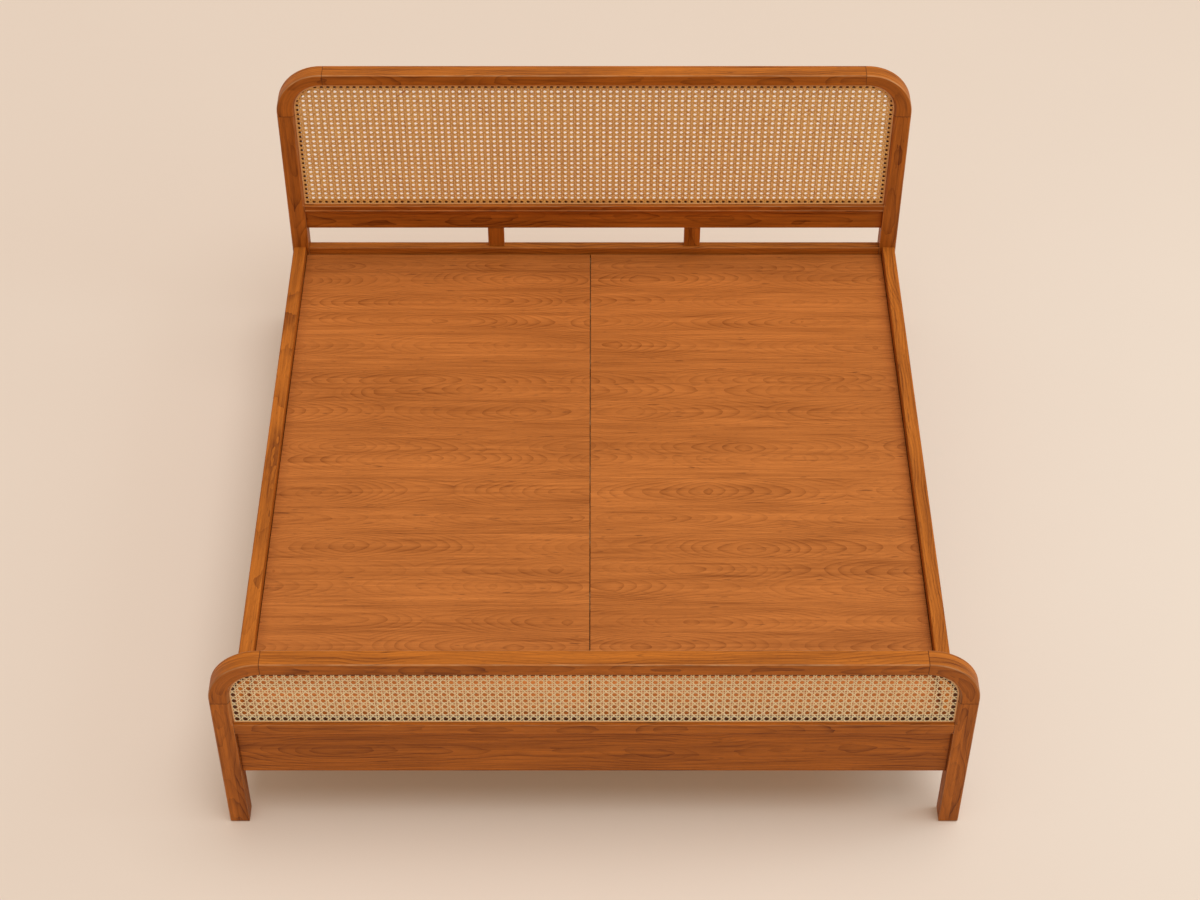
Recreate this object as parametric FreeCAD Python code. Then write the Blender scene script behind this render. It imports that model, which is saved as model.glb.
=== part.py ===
import FreeCAD, Part
import math
import os
from collections import namedtuple

# A wooden double bed frame with a woven cane footboard and headboard.
# Millimetres. X runs across the bed, Y from the foot to the head, Z up.
# The origin is on the floor, under the middle of the whole bed.

Vector = FreeCAD.Vector
ACROSS = Vector(1, 0, 0)
HEADWARD = Vector(0, 1, 0)
FOOTWARD = Vector(0, -1, 0)
UP = Vector(0, 0, 1)
DOWN = Vector(0, 0, -1)

# The well that the mattress lies in
WELL_WIDTH = 1950.0
WELL_LENGTH = 2056.0
DECK_DROP = 30.0

# Side rails, and the underside that the rails, the apron and the cross rail share
RAIL_THICKNESS = 42.0
RAIL_TOP = 356.0
RAIL_UNDERSIDE = 219.0

# Legs, shared by both ends
LEG_WIDTH = 56.0
GLIDE_THICKNESS = 3.0
GLIDE_INSET = 3.0

# Curved corners and the chamfer that runs round the cane
CORNER_RADIUS = 150.0
CHAMFER_WIDTH = 6.0
CHAMFER_DEPTH = 11.0
EDGE_RADIUS = 4.0

# Footboard
FOOT_HEIGHT = 702.0
FOOT_DEPTH = 53.0
FOOT_OVERHANG = 25.0
FOOT_RAIL_FACE = 42.0
FOOT_CORNER_REACH = 150.0
FOOT_CORNER_DROP = 164.0
FOOT_BEAD_TOP = 445.0
FOOT_BEAD_HEIGHT = 38.0
APRON_RECESS = 16.0

# Headboard
HEAD_HEIGHT = 1068.0
HEAD_DEPTH = 55.0
HEAD_OVERHANG = 4.0
HEAD_RAIL_FACE = 38.0
HEAD_CORNER_REACH = 156.0
HEAD_CORNER_DROP = 162.0
HEAD_BEAD_TOP = 535.0
HEAD_BEAD_HEIGHT = 25.0
HEAD_BEAD_DEPTH = 30.0
BEAD_EDGE_RADIUS = 3.0
LOWER_RAIL_HEIGHT = 77.0
LOWER_RAIL_THICKNESS = 32.0
LOWER_RAIL_RECESS = 10.0
CROSS_RAIL_TOP = 353.0
CROSS_RAIL_THICKNESS = 31.0
POST_WIDTH = 54.0

# Tenons on the rails and posts
TENON_LENGTH = 14.0
TENON_THICKNESS = 12.0
TENON_SHOULDER = 8.0
APRON_TENON_RISE = 80.0
TENON_SLACK = 0.2

# Dowels in the seams of the curved corners
DOWEL_RADIUS = 5.0
DOWEL_LENGTH = 60.0
DOWEL_SPACING = 24.0
DOWEL_SLACK = 0.1

# Cane panels: a backing frame, the cane sheet in front of it and the reed spline round it
CANE_THICKNESS = 2.0
BACKING_WIDTH = 13.0
BACKING_THICKNESS = 10.0
SPLINE_WIDTH = 4.5
SPLINE_SEAT_DEPTH = 5.0
SPLINE_PROUD = 1.0
FOOT_CANE_COLUMNS = 46
FOOT_CANE_ROWS = 4
HEAD_CANE_COLUMNS = 30
HEAD_CANE_ROWS = 8
CANE_HOLE_SHARE = 0.66

# Deck boards, the slats under them and what carries the slats
DECK_THICKNESS = 18.0
DECK_CLEARANCE = 2.0
DECK_SEAM = 3.0
DECK_SEAM_OFFSET = -12.5
SLAT_COUNT = 7
SLAT_WIDTH = 70.0
SLAT_THICKNESS = 22.0
CLEAT_WIDTH = 25.0
CLEAT_HEIGHT = 30.0
CLEAT_END_SETBACK = 100.0
BEAM_WIDTH = 45.0
CENTRE_LEG_COUNT = 3
CENTRE_LEG_WIDTH = 45.0
LEG_PLATE_THICKNESS = 3.0
LEG_PLATE_LENGTH = 130.0
LEG_PLATE_SCREW_OFFSET = 50.0
HANGER_STEEL = 2.5
HANGER_HEIGHT = 50.0
HANGER_REACH = 40.0
HANGER_FLANGE = 24.0

# Bolts that pull each side rail against a leg
BOLT_RADIUS = 4.0
BOLT_SLACK = 0.2
BOLT_IN_LEG = 35.0
BOLT_IN_RAIL = 55.0
BOLT_PAST_RAIL = 16.0
BOLT_LOWER_RISE = 24.0
BOLT_SPACING = 38.0
POCKET_LENGTH = 30.0
POCKET_HEIGHT = 28.0
POCKET_PAST_BOLT = 10.0
WASHER_RADIUS = 8.5
WASHER_THICKNESS = 2.0
NUT_ACROSS_CORNERS = 15.0
NUT_THICKNESS = 6.5

# Countersunk wood screws
SCREW_RADIUS = 2.0
SCREW_HEAD_RADIUS = 4.0
SCREW_HEAD_DEPTH = 2.5
SCREW_SLACK = 0.1
CLEAT_SCREW_LENGTH = 40.0
END_CLEAT_SCREW_COUNT = 8
SLAT_SCREW_LENGTH = 45.0
PLATE_SCREW_LENGTH = 30.0
HANGER_SCREW_LENGTH = 20.0

# Cuts run this far past the face that they open, and edges this near a place are at it
OVERRUN = 1.0
EDGE_TOLERANCE = 0.05

# Worked out from the sizes above
LENGTH = FOOT_DEPTH + WELL_LENGTH + HEAD_DEPTH
FOOT_FRONT = -LENGTH / 2
FOOT_BACK = FOOT_FRONT + FOOT_DEPTH
HEAD_FRONT = FOOT_BACK + WELL_LENGTH
WELL_HALF = WELL_WIDTH / 2
RAIL_OUTSIDE = WELL_HALF + RAIL_THICKNESS
BOLT_X = WELL_HALF + RAIL_THICKNESS / 2
DECK_TOP = RAIL_TOP - DECK_DROP
DECK_UNDERSIDE = DECK_TOP - DECK_THICKNESS
SLAT_UNDERSIDE = DECK_UNDERSIDE - SLAT_THICKNESS
SLAT_PITCH = WELL_LENGTH / (SLAT_COUNT + 1)
LOWER_RAIL_TOP = HEAD_BEAD_TOP - HEAD_BEAD_HEIGHT
LOWER_RAIL_UNDERSIDE = LOWER_RAIL_TOP - LOWER_RAIL_HEIGHT
APRON_TOP = FOOT_BEAD_TOP - FOOT_BEAD_HEIGHT
CENTRE_LEG_TOP = RAIL_UNDERSIDE - LEG_PLATE_THICKNESS

Board = namedtuple("Board", "half height front depth rail_face reach drop sill columns rows")

FOOT = Board(
    half=RAIL_OUTSIDE + FOOT_OVERHANG,
    height=FOOT_HEIGHT,
    front=FOOT_FRONT,
    depth=FOOT_DEPTH,
    rail_face=FOOT_RAIL_FACE,
    reach=FOOT_CORNER_REACH,
    drop=FOOT_CORNER_DROP,
    sill=FOOT_BEAD_TOP,
    columns=FOOT_CANE_COLUMNS,
    rows=FOOT_CANE_ROWS,
)
HEAD = Board(
    half=RAIL_OUTSIDE + HEAD_OVERHANG,
    height=HEAD_HEIGHT,
    front=HEAD_FRONT,
    depth=HEAD_DEPTH,
    rail_face=HEAD_RAIL_FACE,
    reach=HEAD_CORNER_REACH,
    drop=HEAD_CORNER_DROP,
    sill=HEAD_BEAD_TOP,
    columns=HEAD_CANE_COLUMNS,
    rows=HEAD_CANE_ROWS,
)


# Basic shapes

def block(x, y, z):
    """A box between two values of X, of Y and of Z."""
    return Part.makeBox(x[1] - x[0], y[1] - y[0], z[1] - z[0], Vector(x[0], y[0], z[0]))


def across(half):
    """The span of a piece that is centred on the bed's middle line."""
    return (-half, half)


def rod(start, direction, length, radius):
    return Part.makeCylinder(radius, length, start, direction)


def mirrored(shape):
    """The same piece on the other side of the bed."""
    return shape.mirror(Vector(0, 0, 0), ACROSS)


def grouped(solids):
    return Part.makeCompound(solids)


def near(a, b):
    return abs(a - b) < EDGE_TOLERANCE


def rounded_along_z(shape, radius, x, ys):
    """The shape with its upright edges at one X and at each of some values of Y rounded."""
    edges = [
        edge
        for edge in shape.Edges
        for y in ys
        if all(near(vertex.X, x) and near(vertex.Y, y) for vertex in edge.Vertexes)
    ]
    return shape.makeFillet(radius, edges)


def rounded_along_x(shape, radius, places):
    """The shape with its edges that run across the bed, at some values of Y and Z, rounded."""
    edges = [
        edge
        for edge in shape.Edges
        for y, z in places
        if all(near(vertex.Y, y) and near(vertex.Z, z) for vertex in edge.Vertexes)
    ]
    return shape.makeFillet(radius, edges)


def rounded_along_y(shape, radius, xs, z):
    """The shape with its edges that run along the bed, at some values of X and one of Z, rounded."""
    edges = [
        edge
        for edge in shape.Edges
        for x in xs
        if all(near(vertex.X, x) and near(vertex.Z, z) for vertex in edge.Vertexes)
    ]
    return shape.makeFillet(radius, edges)


# Outlines in the plane of a board, and the solids made from them

def arch_wire(y, half, bottom, top, radius):
    """A rectangle with its two upper corners rounded, standing at one value of Y."""
    bend = radius * (1 - math.cos(math.pi / 4))

    def point(x, z):
        return Vector(x, y, z)

    corners = [
        Part.LineSegment(point(-half, bottom), point(half, bottom)),
        Part.LineSegment(point(half, bottom), point(half, top - radius)),
        Part.Arc(point(half, top - radius), point(half - bend, top - bend), point(half - radius, top)),
        Part.LineSegment(point(half - radius, top), point(radius - half, top)),
        Part.Arc(point(radius - half, top), point(bend - half, top - bend), point(-half, top - radius)),
        Part.LineSegment(point(-half, top - radius), point(-half, bottom)),
    ]
    return Part.Wire([corner.toShape() for corner in corners])


def opening_wire(board, y, inset):
    """The outline of the board's opening, drawn in by an inset. A wider mouth keeps the same sill."""
    return arch_wire(
        y,
        board.half - LEG_WIDTH - inset,
        board.sill + max(inset, 0),
        board.height - board.rail_face - CHAMFER_WIDTH - inset,
        CORNER_RADIUS - LEG_WIDTH - inset,
    )


def arch_solid(board, inset, start, end):
    """The opening, drawn in by an inset, as a solid between two depths behind the board's front."""
    face = Part.Face(opening_wire(board, board.front + start, inset))
    return face.extrude(HEADWARD * (end - start))


def opening_cut(board):
    """What is taken out of the legs, corners and top rail: a chamfered mouth and a straight throat."""
    mouth = Part.makeLoft(
        [
            opening_wire(board, board.front, -CHAMFER_WIDTH),
            opening_wire(board, board.front + CHAMFER_DEPTH, 0),
        ],
        True,
        True,
    )
    return [mouth, arch_solid(board, 0, CHAMFER_DEPTH, board.depth + OVERRUN)]


def outer_body(board):
    """The whole board's outline as one slab, from which the corners are cut."""
    wire = arch_wire(board.front, board.half, 0, board.height, CORNER_RADIUS)
    return Part.Face(wire).extrude(HEADWARD * board.depth)


# Fasteners and the holes they sit in

def screw(head, direction, length, slack=0):
    """A countersunk wood screw, with its head's face at a point. With slack it is the hole for the screw."""
    cone = Part.makeCone(SCREW_HEAD_RADIUS + slack, SCREW_RADIUS + slack, SCREW_HEAD_DEPTH, head, direction)
    return cone.fuse(rod(head, direction, length + slack, SCREW_RADIUS + slack)).removeSplitter()


def screws(places, slack=0):
    return [screw(head, direction, length, slack) for head, direction, length in places]


def spread(count, half):
    """Evenly spaced places between minus and plus half."""
    return [half * (2 * step / (count - 1) - 1) for step in range(count)]


def dowel_places(board):
    """Start point and direction of the dowels of the right-hand corner, at both of its seams."""
    middle = board.front + board.depth / 2
    rail_middle = board.height - (board.rail_face + CHAMFER_WIDTH) / 2
    places = []
    for side in (-DOWEL_SPACING / 2, DOWEL_SPACING / 2):
        leg_seam = Vector(board.half - LEG_WIDTH / 2, middle + side, board.height - board.drop)
        rail_seam = Vector(board.half - board.reach, middle + side, rail_middle)
        places.append((leg_seam - UP * (DOWEL_LENGTH / 2), UP))
        places.append((rail_seam - ACROSS * (DOWEL_LENGTH / 2), ACROSS))
    return places


def dowels(board, slack=0):
    """The dowels of both corners."""
    right = [
        rod(start - direction * slack, direction, DOWEL_LENGTH + 2 * slack, DOWEL_RADIUS + slack)
        for start, direction in dowel_places(board)
    ]
    return right + [mirrored(dowel) for dowel in right]


def bolt_places():
    """Where a bolt crosses from a leg into a side rail: the point on the joint, and the way into the rail."""
    heights = [RAIL_UNDERSIDE + BOLT_LOWER_RISE + BOLT_SPACING * step for step in range(2)]
    return [
        (Vector(side * BOLT_X, y, z), direction)
        for side in (-1, 1)
        for y, direction in ((FOOT_BACK, HEADWARD), (HEAD_FRONT, FOOTWARD))
        for z in heights
    ]


def bolts(slack=0):
    return [
        rod(
            joint - direction * (BOLT_IN_LEG + slack),
            direction,
            BOLT_IN_LEG + BOLT_IN_RAIL + BOLT_PAST_RAIL + slack,
            BOLT_RADIUS + slack,
        )
        for joint, direction in bolt_places()
    ]


def washers():
    plain = [
        rod(joint + direction * BOLT_IN_RAIL, direction, WASHER_THICKNESS, WASHER_RADIUS)
        for joint, direction in bolt_places()
    ]
    return [washer.cut(bolts(BOLT_SLACK)) for washer in plain]


def nuts():
    """Hexagon nuts, each against its washer."""
    made = []
    for joint, direction in bolt_places():
        seat = joint + direction * (BOLT_IN_RAIL + WASHER_THICKNESS)
        hexagon = Part.makePolygon(
            [
                seat
                + ACROSS * (NUT_ACROSS_CORNERS / 2 * math.cos(math.radians(60 * corner)))
                + UP * (NUT_ACROSS_CORNERS / 2 * math.sin(math.radians(60 * corner)))
                for corner in range(7)
            ]
        )
        made.append(Part.Face(hexagon).extrude(direction * NUT_THICKNESS).cut(bolts(BOLT_SLACK)))
    return made


def nut_pockets():
    """Pockets in the inner faces of the side rails, where the nuts are turned."""
    made = []
    for joint, direction in bolt_places():
        side = 1 if joint.x > 0 else -1
        start = joint.y + direction.y * BOLT_IN_RAIL
        end = start + direction.y * POCKET_LENGTH
        inner = side * (WELL_HALF - OVERRUN)
        outer = side * (BOLT_X + POCKET_PAST_BOLT)
        made.append(
            block(
                sorted((inner, outer)),
                sorted((start, end)),
                (joint.z - POCKET_HEIGHT / 2, joint.z + POCKET_HEIGHT / 2),
            )
        )
    return made


# Rails with tenons

def end_tenons(board, y, z, rise=TENON_SHOULDER, slack=0):
    """Tenons at both ends of a rail between the legs. With slack they are the mortises."""
    shoulder = board.half - LEG_WIDTH
    middle = (y[0] + y[1]) / 2
    thick = (middle - TENON_THICKNESS / 2 - slack, middle + TENON_THICKNESS / 2 + slack)
    high = (z[0] + rise - slack, z[1] - TENON_SHOULDER + slack)
    right = block((shoulder, shoulder + TENON_LENGTH + slack), thick, high)
    return [right, mirrored(right)]


def rail_between_legs(board, y, z, rise=TENON_SHOULDER):
    rail = block(across(board.half - LEG_WIDTH), y, z)
    return rail.fuse(end_tenons(board, y, z, rise)).removeSplitter()


FOOT_BEAD_Y = (FOOT_FRONT, FOOT_BACK)
FOOT_BEAD_Z = (APRON_TOP, FOOT_BEAD_TOP)
APRON_Y = (FOOT_FRONT + APRON_RECESS, FOOT_BACK)
APRON_Z = (RAIL_UNDERSIDE, APRON_TOP)
HEAD_BEAD_Y = (HEAD_FRONT, HEAD_FRONT + HEAD_BEAD_DEPTH)
HEAD_BEAD_Z = (LOWER_RAIL_TOP, HEAD_BEAD_TOP)
LOWER_RAIL_Y = (HEAD_FRONT + LOWER_RAIL_RECESS, HEAD_FRONT + LOWER_RAIL_RECESS + LOWER_RAIL_THICKNESS)
LOWER_RAIL_Z = (LOWER_RAIL_UNDERSIDE, LOWER_RAIL_TOP)
CROSS_RAIL_Y = (HEAD_FRONT, HEAD_FRONT + CROSS_RAIL_THICKNESS)
CROSS_RAIL_Z = (RAIL_UNDERSIDE, CROSS_RAIL_TOP)
POST_Y = (LOWER_RAIL_Y[0], CROSS_RAIL_Y[1])


def foot_mortises():
    return end_tenons(FOOT, FOOT_BEAD_Y, FOOT_BEAD_Z, slack=TENON_SLACK) + end_tenons(
        FOOT, APRON_Y, APRON_Z, APRON_TENON_RISE, TENON_SLACK
    )


def head_mortises():
    made = []
    for y, z in (
        (HEAD_BEAD_Y, HEAD_BEAD_Z),
        (LOWER_RAIL_Y, LOWER_RAIL_Z),
        (CROSS_RAIL_Y, CROSS_RAIL_Z),
    ):
        made += end_tenons(HEAD, y, z, slack=TENON_SLACK)
    return made


# The curved frame of a board

def right_leg(board, mortises):
    """A straight leg, from its glide up to the seam with the curved corner."""
    y = (board.front, board.front + board.depth)
    leg = block((board.half - LEG_WIDTH, board.half), y, (GLIDE_THICKNESS, board.height - board.drop))
    leg = rounded_along_z(leg, EDGE_RADIUS, board.half, y)
    return leg.cut(opening_cut(board) + mortises + dowels(board, DOWEL_SLACK) + bolts(BOLT_SLACK))


def right_corner(board):
    """The curved corner block between a leg and the top rail."""
    window = block(
        (board.half - board.reach, board.half),
        (board.front, board.front + board.depth),
        (board.height - board.drop, board.height),
    )
    corner = outer_body(board).common(window)
    corner = corner.cut(opening_cut(board)).removeSplitter()
    outer = [edge for edge in corner.Edges if on_outer_edge(board, edge)]
    corner = corner.makeFillet(EDGE_RADIUS, outer)
    return corner.cut(dowels(board, DOWEL_SLACK))


def on_outer_edge(board, edge):
    """Whether an edge runs along the outside of the curved frame, at its front or back face."""
    at = edge.valueAt((edge.FirstParameter + edge.LastParameter) / 2)
    flat = near(at.y, board.front) or near(at.y, board.front + board.depth)
    level = all(near(vertex.Y, at.y) for vertex in edge.Vertexes)
    centre_x = board.half - CORNER_RADIUS
    centre_z = board.height - CORNER_RADIUS
    on_arc = near(math.hypot(at.x - centre_x, at.z - centre_z), CORNER_RADIUS)
    outside = near(at.x, board.half) or near(at.z, board.height) or on_arc
    return flat and level and outside


def top_rail(board):
    y = (board.front, board.front + board.depth)
    z = (board.height - board.rail_face - CHAMFER_WIDTH, board.height)
    rail = block(across(board.half - board.reach), y, z)
    rail = rounded_along_x(rail, EDGE_RADIUS, [(y[0], board.height), (y[1], board.height)])
    return rail.cut(opening_cut(board) + dowels(board, DOWEL_SLACK))


# The cane panel of a board

def cane_backing(board):
    """The frame that the cane is stretched over, rebated round its front edge for the spline."""
    front = CHAMFER_DEPTH + CANE_THICKNESS
    ring = arch_solid(board, 0, front, front + BACKING_THICKNESS)
    inside = arch_solid(board, BACKING_WIDTH, front - OVERRUN, front + BACKING_THICKNESS + OVERRUN)
    return ring.cut([inside, spline_ring(board)])


def spline_ring(board):
    """The reed spline, pressed in round the edge of the cane."""
    start = CHAMFER_DEPTH - SPLINE_PROUD
    end = CHAMFER_DEPTH + CANE_THICKNESS + SPLINE_SEAT_DEPTH
    inside = arch_solid(board, SPLINE_WIDTH, start - OVERRUN, end + OVERRUN)
    return arch_solid(board, 0, start, end).cut(inside)


def octagon(x, y, z, half_x, half_z):
    """An eight-sided hole of the cane, standing at one value of Y."""
    corners = [
        Vector(
            x + half_x * math.cos(math.radians(45 * step + 22.5)) / math.cos(math.radians(22.5)),
            y,
            z + half_z * math.sin(math.radians(45 * step + 22.5)) / math.cos(math.radians(22.5)),
        )
        for step in range(9)
    ]
    return Part.makePolygon(corners)


def inside_arch(board, x, z, inset):
    """Whether a point lies inside the opening, drawn in by an inset, near its rounded corners too."""
    radius = CORNER_RADIUS - LEG_WIDTH
    centre_x = board.half - LEG_WIDTH - radius
    centre_z = board.height - board.rail_face - CHAMFER_WIDTH - radius
    past_x = max(abs(x) - centre_x, 0)
    past_z = max(z - centre_z, 0)
    return math.hypot(past_x, past_z) < radius - inset


def cane_sheet(board):
    """The cane as a sheet with open cells, each standing for a few holes of the weave."""
    y = board.front + CHAMFER_DEPTH
    half = board.half - LEG_WIDTH - SPLINE_WIDTH
    bottom = board.sill + SPLINE_WIDTH
    top = board.height - board.rail_face - CHAMFER_WIDTH - SPLINE_WIDTH
    pitch_x = 2 * half / board.columns
    pitch_z = (top - bottom) / board.rows
    hole_x = pitch_x * CANE_HOLE_SHARE / 2
    hole_z = pitch_z * CANE_HOLE_SHARE / 2
    holes = []
    for column in range(board.columns):
        for row in range(board.rows):
            x = (column + 0.5) * pitch_x - half
            z = bottom + (row + 0.5) * pitch_z
            if inside_arch(board, x, z, SPLINE_WIDTH + max(hole_x, hole_z)):
                holes.append(octagon(x, y, z, hole_x, hole_z))
    face = Part.makeFace([opening_wire(board, y, SPLINE_WIDTH)] + holes, "Part::FaceMakerBullseye")
    return face.extrude(HEADWARD * CANE_THICKNESS)


# Footboard rails

def foot_bead_rail():
    return rail_between_legs(FOOT, FOOT_BEAD_Y, FOOT_BEAD_Z)


def foot_apron():
    apron = rail_between_legs(FOOT, APRON_Y, APRON_Z, APRON_TENON_RISE)
    return apron.cut(screws(foot_cleat_screw_places() + foot_hanger_screw_places(), SCREW_SLACK))


# Headboard rails and posts

def head_bead_rail():
    rail = rail_between_legs(HEAD, HEAD_BEAD_Y, HEAD_BEAD_Z)
    return rounded_along_x(rail, BEAD_EDGE_RADIUS, [(HEAD_FRONT, z) for z in HEAD_BEAD_Z])


def post_middle():
    """How far the middle of each post lies from the bed's middle line, with three equal gaps."""
    clear = 2 * (HEAD.half - LEG_WIDTH)
    gap = (clear - 2 * POST_WIDTH) / 3
    return (gap + POST_WIDTH) / 2


def post_tenons(slack=0):
    """One tenon up and one down on each post. With slack they are the mortises."""
    middle_y = (POST_Y[0] + POST_Y[1]) / 2
    half_wide = POST_WIDTH / 2 - TENON_SHOULDER + slack
    half_thick = TENON_THICKNESS / 2 + slack
    x = (post_middle() - half_wide, post_middle() + half_wide)
    y = (middle_y - half_thick, middle_y + half_thick)
    lower = block(x, y, (CROSS_RAIL_TOP - TENON_LENGTH - slack, CROSS_RAIL_TOP))
    upper = block(x, y, (LOWER_RAIL_UNDERSIDE, LOWER_RAIL_UNDERSIDE + TENON_LENGTH + slack))
    return [lower, upper, mirrored(lower), mirrored(upper)]


def right_post():
    x = (post_middle() - POST_WIDTH / 2, post_middle() + POST_WIDTH / 2)
    post = block(x, POST_Y, (CROSS_RAIL_TOP, LOWER_RAIL_UNDERSIDE))
    lower, upper = post_tenons()[:2]
    return post.fuse([lower, upper]).removeSplitter()


def head_lower_rail():
    return rail_between_legs(HEAD, LOWER_RAIL_Y, LOWER_RAIL_Z).cut(post_tenons(TENON_SLACK))


def head_cross_rail():
    rail = rail_between_legs(HEAD, CROSS_RAIL_Y, CROSS_RAIL_Z)
    holes = screws(head_cleat_screw_places() + head_hanger_screw_places(), SCREW_SLACK)
    return rail.cut(post_tenons(TENON_SLACK) + holes)


# Side rails and cleats

SIDE_CLEAT_Y = (FOOT_BACK + CLEAT_END_SETBACK, HEAD_FRONT - CLEAT_END_SETBACK)
SIDE_CLEAT_Z = (SLAT_UNDERSIDE - CLEAT_HEIGHT, SLAT_UNDERSIDE)
END_CLEAT_HALF = WELL_HALF - CLEAT_WIDTH
END_CLEAT_Z = (SLAT_UNDERSIDE, DECK_UNDERSIDE)


def side_cleat_screw_places():
    """Screws that hold the right-hand cleat to its rail, halfway between the slats."""
    head_x = WELL_HALF - CLEAT_WIDTH
    z = (SIDE_CLEAT_Z[0] + SIDE_CLEAT_Z[1]) / 2
    middles = slat_middles()
    return [
        (Vector(head_x, (near_end + far_end) / 2, z), ACROSS, CLEAT_SCREW_LENGTH)
        for near_end, far_end in zip(middles, middles[1:])
    ]


def end_cleat_screw_places(face, direction):
    """Screws that hold a cleat to the apron or the cross rail, with their heads on the cleat's free side."""
    z = (END_CLEAT_Z[0] + END_CLEAT_Z[1]) / 2
    half = END_CLEAT_HALF * (1 - 1 / END_CLEAT_SCREW_COUNT)
    head = face - direction.y * CLEAT_WIDTH
    return [(Vector(x, head, z), direction, CLEAT_SCREW_LENGTH) for x in spread(END_CLEAT_SCREW_COUNT, half)]


def foot_cleat_screw_places():
    return end_cleat_screw_places(FOOT_BACK, FOOTWARD)


def head_cleat_screw_places():
    return end_cleat_screw_places(HEAD_FRONT, HEADWARD)


def right_side_rail():
    rail = block((WELL_HALF, RAIL_OUTSIDE), (FOOT_BACK, HEAD_FRONT), (RAIL_UNDERSIDE, RAIL_TOP))
    rail = rounded_along_y(rail, EDGE_RADIUS, (WELL_HALF, RAIL_OUTSIDE), RAIL_TOP)
    cutters = nut_pockets() + bolts(BOLT_SLACK) + screws(side_cleat_screw_places(), SCREW_SLACK)
    return rail.cut(cutters)


def right_side_cleat():
    cleat = block((WELL_HALF - CLEAT_WIDTH, WELL_HALF), SIDE_CLEAT_Y, SIDE_CLEAT_Z)
    return cleat.cut(screws(side_cleat_screw_places() + slat_screw_places(), SCREW_SLACK))


def foot_end_cleat():
    cleat = block(across(END_CLEAT_HALF), (FOOT_BACK, FOOT_BACK + CLEAT_WIDTH), END_CLEAT_Z)
    return cleat.cut(screws(foot_cleat_screw_places(), SCREW_SLACK))


def head_end_cleat():
    cleat = block(across(END_CLEAT_HALF), (HEAD_FRONT - CLEAT_WIDTH, HEAD_FRONT), END_CLEAT_Z)
    return cleat.cut(screws(head_cleat_screw_places(), SCREW_SLACK))


def cleat_screws():
    right = screws(side_cleat_screw_places())
    ends = screws(foot_cleat_screw_places() + head_cleat_screw_places())
    return grouped(right + [mirrored(part) for part in right] + ends)


# Slats

def slat_middles():
    return [FOOT_BACK + SLAT_PITCH * (step + 1) for step in range(SLAT_COUNT)]


def slat_screw_places():
    """A screw at each end of every slat and one over the centre beam."""
    cleat_middle = WELL_HALF - CLEAT_WIDTH / 2
    return [
        (Vector(x, y, DECK_UNDERSIDE), DOWN, SLAT_SCREW_LENGTH)
        for y in slat_middles()
        for x in (-cleat_middle, 0, cleat_middle)
    ]


def slat(middle):
    y = (middle - SLAT_WIDTH / 2, middle + SLAT_WIDTH / 2)
    plain = block(across(WELL_HALF - DECK_CLEARANCE), y, END_CLEAT_Z)
    return plain.cut(screws(slat_screw_places(), SCREW_SLACK))


# Centre beam, its hangers and its legs

def centre_beam():
    beam = block(across(BEAM_WIDTH / 2), (FOOT_BACK, HEAD_FRONT), (RAIL_UNDERSIDE, SLAT_UNDERSIDE))
    holes = slat_screw_places() + plate_screw_places()
    return beam.cut(screws(holes, SCREW_SLACK))


def hanger(face, direction):
    """A steel stirrup under one end of the beam, with a flange each side against the wood."""
    z = (RAIL_UNDERSIDE - HANGER_STEEL, RAIL_UNDERSIDE + HANGER_HEIGHT)
    outer = BEAM_WIDTH / 2 + HANGER_STEEL
    steel_y = sorted((face, face + direction.y * HANGER_STEEL))
    stirrup_y = sorted((face, face + direction.y * HANGER_REACH))
    stirrup = block(across(outer), stirrup_y, z)
    flanges = block(across(outer + HANGER_FLANGE), steel_y, z)
    seat_y = (stirrup_y[0] - OVERRUN, stirrup_y[1] + OVERRUN)
    seat = block(across(BEAM_WIDTH / 2), seat_y, (RAIL_UNDERSIDE, z[1] + OVERRUN))
    return stirrup.fuse(flanges).removeSplitter().cut(seat)


def hanger_screw_places(face, direction):
    """Four screws through the flanges of one hanger."""
    x = BEAM_WIDTH / 2 + HANGER_STEEL + HANGER_FLANGE / 2
    head = face + direction.y * HANGER_STEEL
    heights = [RAIL_UNDERSIDE + HANGER_HEIGHT * (step + 1) / 3 for step in range(2)]
    return [
        (Vector(side * x, head, z), direction * -1, HANGER_SCREW_LENGTH)
        for side in (-1, 1)
        for z in heights
    ]


def foot_hanger_screw_places():
    return hanger_screw_places(FOOT_BACK, HEADWARD)


def head_hanger_screw_places():
    return hanger_screw_places(HEAD_FRONT, FOOTWARD)


def hangers():
    holes = screws(foot_hanger_screw_places() + head_hanger_screw_places(), SCREW_SLACK)
    pair = [hanger(FOOT_BACK, HEADWARD), hanger(HEAD_FRONT, FOOTWARD)]
    return grouped([piece.cut(holes) for piece in pair])


def centre_leg_middles():
    """The legs stand under the beam at even spacing, clear of the footboard and the headboard."""
    pitch = WELL_LENGTH / (CENTRE_LEG_COUNT + 1)
    return [FOOT_BACK + pitch * (step + 1) for step in range(CENTRE_LEG_COUNT)]


def plate_screw_places():
    """Two screws up into the beam and one down into the leg, for each leg plate."""
    up = [
        (Vector(0, y + side * LEG_PLATE_SCREW_OFFSET, CENTRE_LEG_TOP), UP, PLATE_SCREW_LENGTH)
        for y in centre_leg_middles()
        for side in (-1, 1)
    ]
    down = [(Vector(0, y, RAIL_UNDERSIDE), DOWN, PLATE_SCREW_LENGTH) for y in centre_leg_middles()]
    return up + down


def centre_leg(middle):
    half = CENTRE_LEG_WIDTH / 2
    leg = block(across(half), (middle - half, middle + half), (GLIDE_THICKNESS, CENTRE_LEG_TOP))
    return leg.cut(screws(plate_screw_places(), SCREW_SLACK))


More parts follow.
